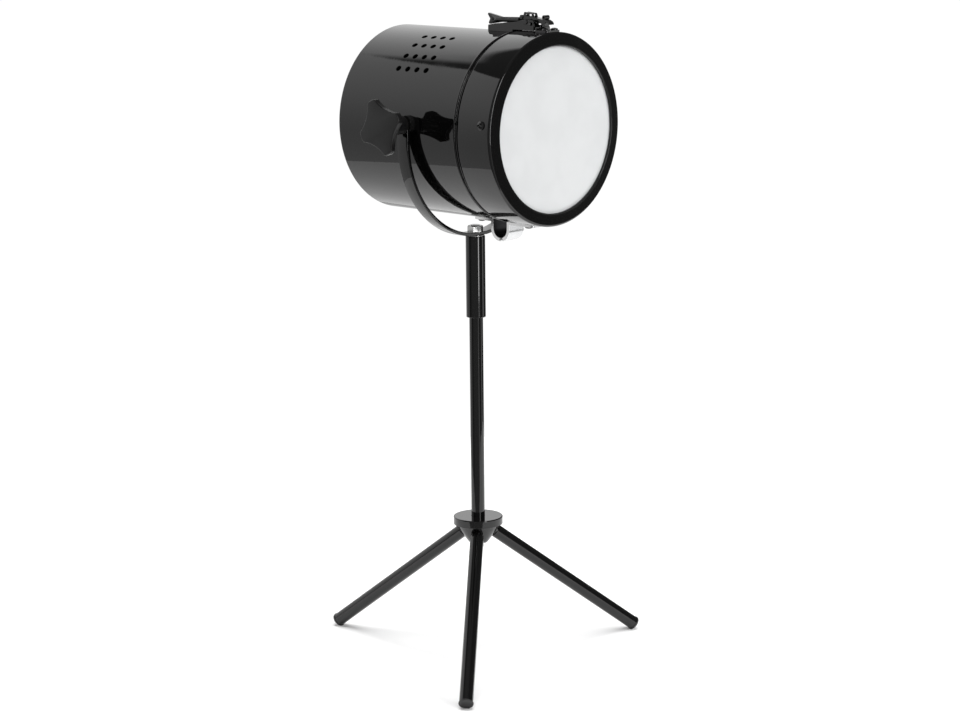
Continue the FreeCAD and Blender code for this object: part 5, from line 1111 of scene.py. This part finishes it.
clawSize = {
    "half": 2.9, "slotHalf": 1.5, "roll": (88.3, 98.9), "rollRadius": 2.1, "rollBore": 1.0, "edge": 0.2,
    "side": ((59.7, 96.5, 1.0), (59.7, 100.2, 1.4), (64.2, 100.3, 0.3), (65.2, 103.0, 0.5),
             (75.2, 102.2, 0.5), (76.4, 98.8, 1.2), (84.6, 97.4, 1.0), (90.6, 97.0, 1.6),
             (94.2, 95.4, 1.6), (95.6, 92.9, 0.4), (94.5, 92.7, 0.4), (92.6, 94.4, 1.0),
             (89.6, 95.2, 0.8), (89.6, 91.0, 0.5), (86.4, 91.0, 0.4), (86.4, 93.6, 0.8),
             (79.0, 93.5, 1.0), (77.8, 96.5, 0.8)),
    "slot": ((50, 80), (50, 120), (75.2, 120), (77.2, 96.9), (82.0, 96.2), (82.0, 80)),
    "boxWindow": (66.6, 74.0, 99.4, 101.3)}


def slab(outline, low, high):
    # a flat outline carried across the lamp
    spots = rounded(outline)
    bm = bmesh.new()
    sides = [[bm.verts.new(headPoint(x, *spot)) for spot in spots] for x in (low, high)]
    skin(bm, sides)
    for side in sides:
        bm.faces.new(side)
    return linked("slab", cleanMesh(bm, "slab"))


def disc(centre, radius, steps=28):
    return [(centre[0] + radius * math.cos(2 * math.pi * k / steps),
             centre[1] + radius * math.sin(2 * math.pi * k / steps)) for k in range(steps)]


def window(rear, front, foot, top):
    return ((rear, foot, 0.4), (rear, top, 0.4), (front, top, 0.4), (front, foot, 0.4))


def worked(made, operation, tool):
    step = made.modifiers.new("work", "BOOLEAN")
    step.solver, step.operation, step.object = "EXACT", operation, tool
    mesh = baked(made)
    bpy.data.objects.remove(tool)
    return linked("worked", mesh)


def pressed(name, made, width, node):
    return piece(name, brokenEdges(made, width, 2, 40.0), node)


def makeLatch():
    l, v, c = latchSize, leverSize, clawSize
    through = 9.0   # half the width of a cutter that goes right through
    base = slab(l["side"], -l["half"], l["half"])
    base = worked(base, "DIFFERENCE", slab(l["channel"], -l["inside"], l["inside"]))
    base = worked(base, "DIFFERENCE", slab(window(*l["earWindow"]), -through, through))
    drum = [(10, 0), (10, l["seat"]), (56, l["seat"]), (56, 0)]   # the base is filed to the drum's curve
    drum = cleanMesh(turn(bmesh.new(), drum, ahead, 360, closed=False), "drumSeat")
    base = worked(base, "DIFFERENCE", linked("drumSeat", drum))
    pressed("latchBase", base, l["edge"], "latch_base")
    lever = slab(v["side"], -v["half"], v["half"])
    (rear, foot), (front, top), r = v["ribFrom"], v["ribTo"], v["ribRadius"]
    rib = [(rear - r, foot - r), (front + r, top - r), (front + r, top + r), (rear - r, foot + r)]
    lever = worked(lever, "UNION", slab([(*spot, r * 0.95) for spot in rib], -v["rib"], v["rib"]))
    lever = worked(lever, "DIFFERENCE", slab(disc(v["hole"], v["holeRadius"]), -through, through))
    pressed("latchLever", lever, v["edge"], "latch_lever")
    claw = slab(c["side"], -c["half"], c["half"])
    claw = worked(claw, "UNION", slab(disc(c["roll"], c["rollRadius"]), -c["half"], c["half"]))
    claw = worked(claw, "DIFFERENCE", slab(disc(c["roll"], c["rollBore"]), -through, through))
    claw = worked(claw, "DIFFERENCE", slab(c["slot"], -c["slotHalf"], c["slotHalf"]))
    claw = worked(claw, "DIFFERENCE", slab(window(*c["boxWindow"]), -through, through))
    pressed("latchClaw", claw, c["edge"], "latch_claw")
    softened("latchKeeper", 0.3, "keeper")
    for name, node in (("latchPivotPin", "latch_pivot_pin"), ("clawPin", "claw_pin"),
                       ("latchRivets", "latch_rivets")):
        softened(name, 0.3, node, segments=3, slot="black_hardware")


makeHinge()
makeLatch()
print("hinge and latch made")


# inside the drum

holderSize = {
    "rear": -66.0, "floor": 22.0, "bore": 15.2, "shell": 1.6, "shellLength": 24.0, "pitch": 3.6,
    "depth": 0.5, "side": ((0, 5.0), (0, 14.5, 1.0), (6, 19.5, 2.0), (38, 19.5, 0.5), (39, 21.0, 0.5),
                           (47, 21.0, 1.0), (50, 19.0, 0.8), (50, 15.2, 0.6), (22, 15.2), (22, 5.0))}
bulbSize = {
    "radius": 30.0, "centre": 36.0, "wall": 1.0, "neck": 12.6, "neckLength": 6.0, "neckAngle": 25.0,
    "capLength": 26.0, "capFoot": 6.0, "capMiddle": 12.6, "thread": 0.55, "threadRows": 60,
    "contact": ((0.3, 0), (0.3, 4, 0.4), (2.5, 6, 0.6), (5, 12.2, 0.6), (6, 12.5), (6, 0))}


def makeHolder(floor):
    h = holderSize
    turned("lampHolder", shifted(h["side"], h["rear"]), ahead, "lampholder", steps=96)
    threaded("screwShell", ahead, floor, floor + h["shellLength"], h["bore"], h["bore"] - h["shell"],
             h["pitch"], h["depth"], "screw_shell", steps=64, lead=2.0)


def makeBulbCap(floor):
    b = bulbSize
    bm = turn(bmesh.new(), rounded(shifted(b["contact"], floor), closed=False), ahead, 64, closed=False)
    foot, rows = floor + b["capFoot"], b["threadRows"]
    grid = []
    for row in range(rows + 1):
        along = foot + (b["capLength"] - b["capFoot"]) * row / rows
        swell = b["thread"] * min(1.0, row / 6, (rows - row) / 10)
        turns = 2 * math.pi * along / holderSize["pitch"]
        grid.append(hoop(bm, ahead, along, lambda a: b["capMiddle"] + swell * math.cos(turns - a), 64))
    skin(bm, grid)
    bm.faces.new(grid[0])
    bm.faces.new(grid[-1])
    piece("bulbCap", cleanMesh(bm, "bulbCap", 40.0), "bulb_cap")


def bulbRun(start, radius, neck):
    # one side of the glass, from the cap up the neck and over the ball
    b = bulbSize
    a = math.radians(b["neckAngle"])
    shoulder = start + 4 + b["neckLength"]
    run = [(start, neck), (shoulder, neck)]
    wide = (b["centre"] - radius * math.sin(a), radius * math.cos(a))
    for step in range(1, 8):   # the neck flows into the ball
        t = step / 8
        flow = 0.35 * t + 0.65 * t * t * (3 - 2 * t)
        run.append((shoulder + (wide[0] - shoulder) * t, neck + (wide[1] - neck) * flow))
    for step in range(29):
        angle = -a + (math.pi / 2 + a) * step / 28
        run.append((b["centre"] + radius * math.sin(angle), max(0.0, radius * math.cos(angle))))
    return run


def makeInside():
    b = bulbSize
    floor = holderSize["rear"] + holderSize["floor"]
    makeHolder(floor)
    makeBulbCap(floor)
    start = floor + b["capLength"] - 4
    inner = bulbRun(start, b["radius"] - b["wall"], b["neck"] - b["wall"])
    outline = bulbRun(start, b["radius"], b["neck"]) + inner[::-1]
    glass = turn(bmesh.new(), outline, ahead, 96, closed=False)
    piece("bulbGlass", cleanMesh(glass, "bulbGlass", 50.0), "bulb_glass")
    softened("holderBracket", 0.25, "holder_bracket")
    softened("holderNipple", 0.2, "holder_nipple")


makeInside()
print("inside made")


# what stays as CAD gets its finish

for name, node in nodes.items():
    if not node.hide_render:
        node.data.materials.clear()
        node.data.materials.append(finish[slotOf[name]])


# camera, floor and light

view = {"azimuth": -46.78, "elevation": 11.46, "roll": -0.57, "distance": 2.5, "targetHeight": 0.283,
        "targetRight": 0.00319, "sensor": 36.0, "focal": 2692.6 / 960 * 36}  # the frame is 960 wide


def makeCamera():
    a, e, roll = (math.radians(view[k]) for k in ("azimuth", "elevation", "roll"))
    back = Vector((math.sin(a) * math.cos(e), -math.cos(a) * math.cos(e), math.sin(e)))
    right = (-back).cross(Vector((0, 0, 1))).normalized()
    above = right.cross(-back)
    target = postPoint(0, 0, 0) + right * view["targetRight"] + Vector((0, 0, view["targetHeight"]))
    x = right * math.cos(roll) + above * math.sin(roll)
    y = above * math.cos(roll) - right * math.sin(roll)
    data = bpy.data.cameras.new("camera")
    data.lens = view["focal"]
    data.sensor_width = view["sensor"]
    data.clip_start, data.clip_end = 0.05, 50
    made = linked("camera", data)
    turnTo = Matrix((x, y, back)).transposed().to_4x4()
    made.matrix_world = Matrix.Translation(target + back * view["distance"]) @ turnTo
    bpy.context.scene.camera = made


floorLook = {"steps": 144, "roughness": 0.9, "dark": 0.88, "light": 0.92,
             "reach": ((-47, 0.4), (20, 0.92), (60, 1.0), (133, 0.9), (212, 0.745))}


def floorReach(azimuth):
    # metres from the post to the edge of the pale table, eased between the listed directions
    stops = list(floorLook["reach"])
    stops.append((stops[0][0] + 360, stops[0][1]))
    azimuth = (azimuth - stops[0][0]) % 360 + stops[0][0]
    for (one, near), (two, far) in zip(stops, stops[1:]):
        if one <= azimuth <= two:
            share = (1 - math.cos(math.pi * (azimuth - one) / (two - one))) / 2
            return near + (far - near) * share


def makeFloor():
    bm = bmesh.new()
    look = floorLook
    middle = bm.verts.new(postPoint(0, 0, 0))
    rim = []
    for step in range(look["steps"]):
        azimuth = 360 * step / look["steps"]
        reach = floorReach(azimuth) / mm
        a = math.radians(azimuth)
        rim.append(bm.verts.new(postPoint(reach * math.sin(a), -reach * math.cos(a), 0)))
    skin(bm, [rim, [middle]])
    mesh = bpy.data.meshes.new("floor")
    bm.to_mesh(mesh)
    bm.free()
    mesh.materials.append(material("paleTable", {"Roughness": look["roughness"]}, lambda graph, place: {
        "Base Color": graph.mix(graph.noise(place, 3.0, 2.0), grey(look["dark"]), grey(look["light"]))}))
    linked("floor", mesh)


# Azimuths are in degrees from the lamp's front, heights are the Z of a direction, levels are brightness.
# A ramp is (from, to), or (from, to, level at from, level at to).
worldLook = {
    "boxAzimuth": 178.0, "boxHalf": 56.0, "boxBlur": 0.02, "wall": (-0.3, 0.6, 0.68, 1.15),
    "rightAzimuth": 140.0, "right": (0.6, 1.0), "rightFoot": (0.0, 0.6), "rightExtra": 0.35,
    "dark": (0.3, 0.8, 0.1, 0.32), "seen": 1.02,
    "ceilingFoot": (0.718, 0.757), "ceiling": (0.8, 1.0, 0.1, 0.26),
    "cornerSide": (0.0, 0.17), "cornerFoot": (0.699, 0.706),
    "stripAzimuth": -10.5, "stripHalf": 5.0, "stripTop": 0.6, "strip": (-0.18, -0.17, 1.0, 9.0),
    "stripDiffuse": 0.35,
    "panelAzimuth": 47.0, "panelHalf": 9.0, "panelFoot": -0.27, "panelTop": 0.09, "panel": 1.25}


def makeWorld():
    # a white room behind the lamp, a dark side in front, a dim ceiling, a tall strip and a low panel
    world = bpy.data.worlds.new("studio")
    world.use_nodes = True
    bpy.context.scene.world = world
    graph = Graph(world.node_tree)
    world.node_tree.nodes.clear()
    s = worldLook
    toward = graph.add("ShaderNodeTexCoord", out="Generated")
    x, y, z = graph.split(toward)
    flat = (x * x + y * y).maths("SQRT").maths("MAXIMUM", 1e-4)

    def facing(azimuth):
        a = math.radians(azimuth)
        return (x * math.sin(a) - y * math.cos(a)) / flat

    def within(label):
        return facing(s[label + "Azimuth"]) > math.cos(math.radians(s[label + "Half"]))

    edge = math.cos(math.radians(s["boxHalf"]))
    box = facing(s["boxAzimuth"]).ramp(edge - s["boxBlur"], edge + s["boxBlur"])
    right = facing(s["rightAzimuth"]).ramp(*s["right"]) * z.ramp(*s["rightFoot"]) * s["rightExtra"]
    wall = z.ramp(*s["wall"]) + right
    level = box * wall + (1.0 - box) * facing(view["azimuth"]).ramp(*s["dark"])
    ceiling = z.ramp(*s["ceilingFoot"])
    corner = (-1.0 * x / flat).ramp(*s["cornerSide"]) * z.ramp(*s["cornerFoot"])
    ceiling = ceiling + (1.0 - ceiling) * corner
    level = level * (1.0 - ceiling) + ceiling * z.ramp(*s["ceiling"])
    strip = within("strip") * (z < s["stripTop"]) * z.ramp(*s["strip"])
    soft = graph.add("ShaderNodeLightPath", out="Is Diffuse Ray")
    level = level + strip * (1.0 - soft * (1.0 - s["stripDiffuse"]))   # dull surfaces take less of it
    level = level + within("panel") * (z < s["panelTop"]) * (z > s["panelFoot"]) * s["panel"]
    seen = graph.add("ShaderNodeLightPath", out="Is Camera Ray")
    level = level * (1.0 - seen) + s["seen"] * seen
    shade = graph.add("ShaderNodeCombineColor", None, {0: level, 1: level, 2: level})
    lit = graph.add("ShaderNodeBackground", None, {"Color": shade, "Strength": 1.0})
    graph.add("ShaderNodeOutputWorld", None, {"Surface": lit})


# place, target, size in metres, power
softboxes = {"fill": ((0.9, -2.3, 1.7), (0, -0.1, 0.45), 1.4, 46.0),
             "tableFill": ((0.0, 0.0, 2.4), (0, 0, 0), 1.6, 66.0)}


def softbox(name, place, target, size, power):
    # lights without showing in the gloss, where the room and the strip do
    data = bpy.data.lights.new(name, "AREA")
    data.shape, data.size, data.energy = "SQUARE", size, power
    made = linked(name, data)
    made.location = place
    made.rotation_euler = (Vector(target) - Vector(place)).to_track_quat("-Z", "Y").to_euler()
    made.visible_glossy = made.visible_camera = False


makeCamera()
makeFloor()
makeWorld()
for name, light in softboxes.items():
    softbox(name, *light)
bpy.context.scene.view_settings.view_transform = "Standard"
bpy.context.scene.view_settings.look = "None"
print("studio set")
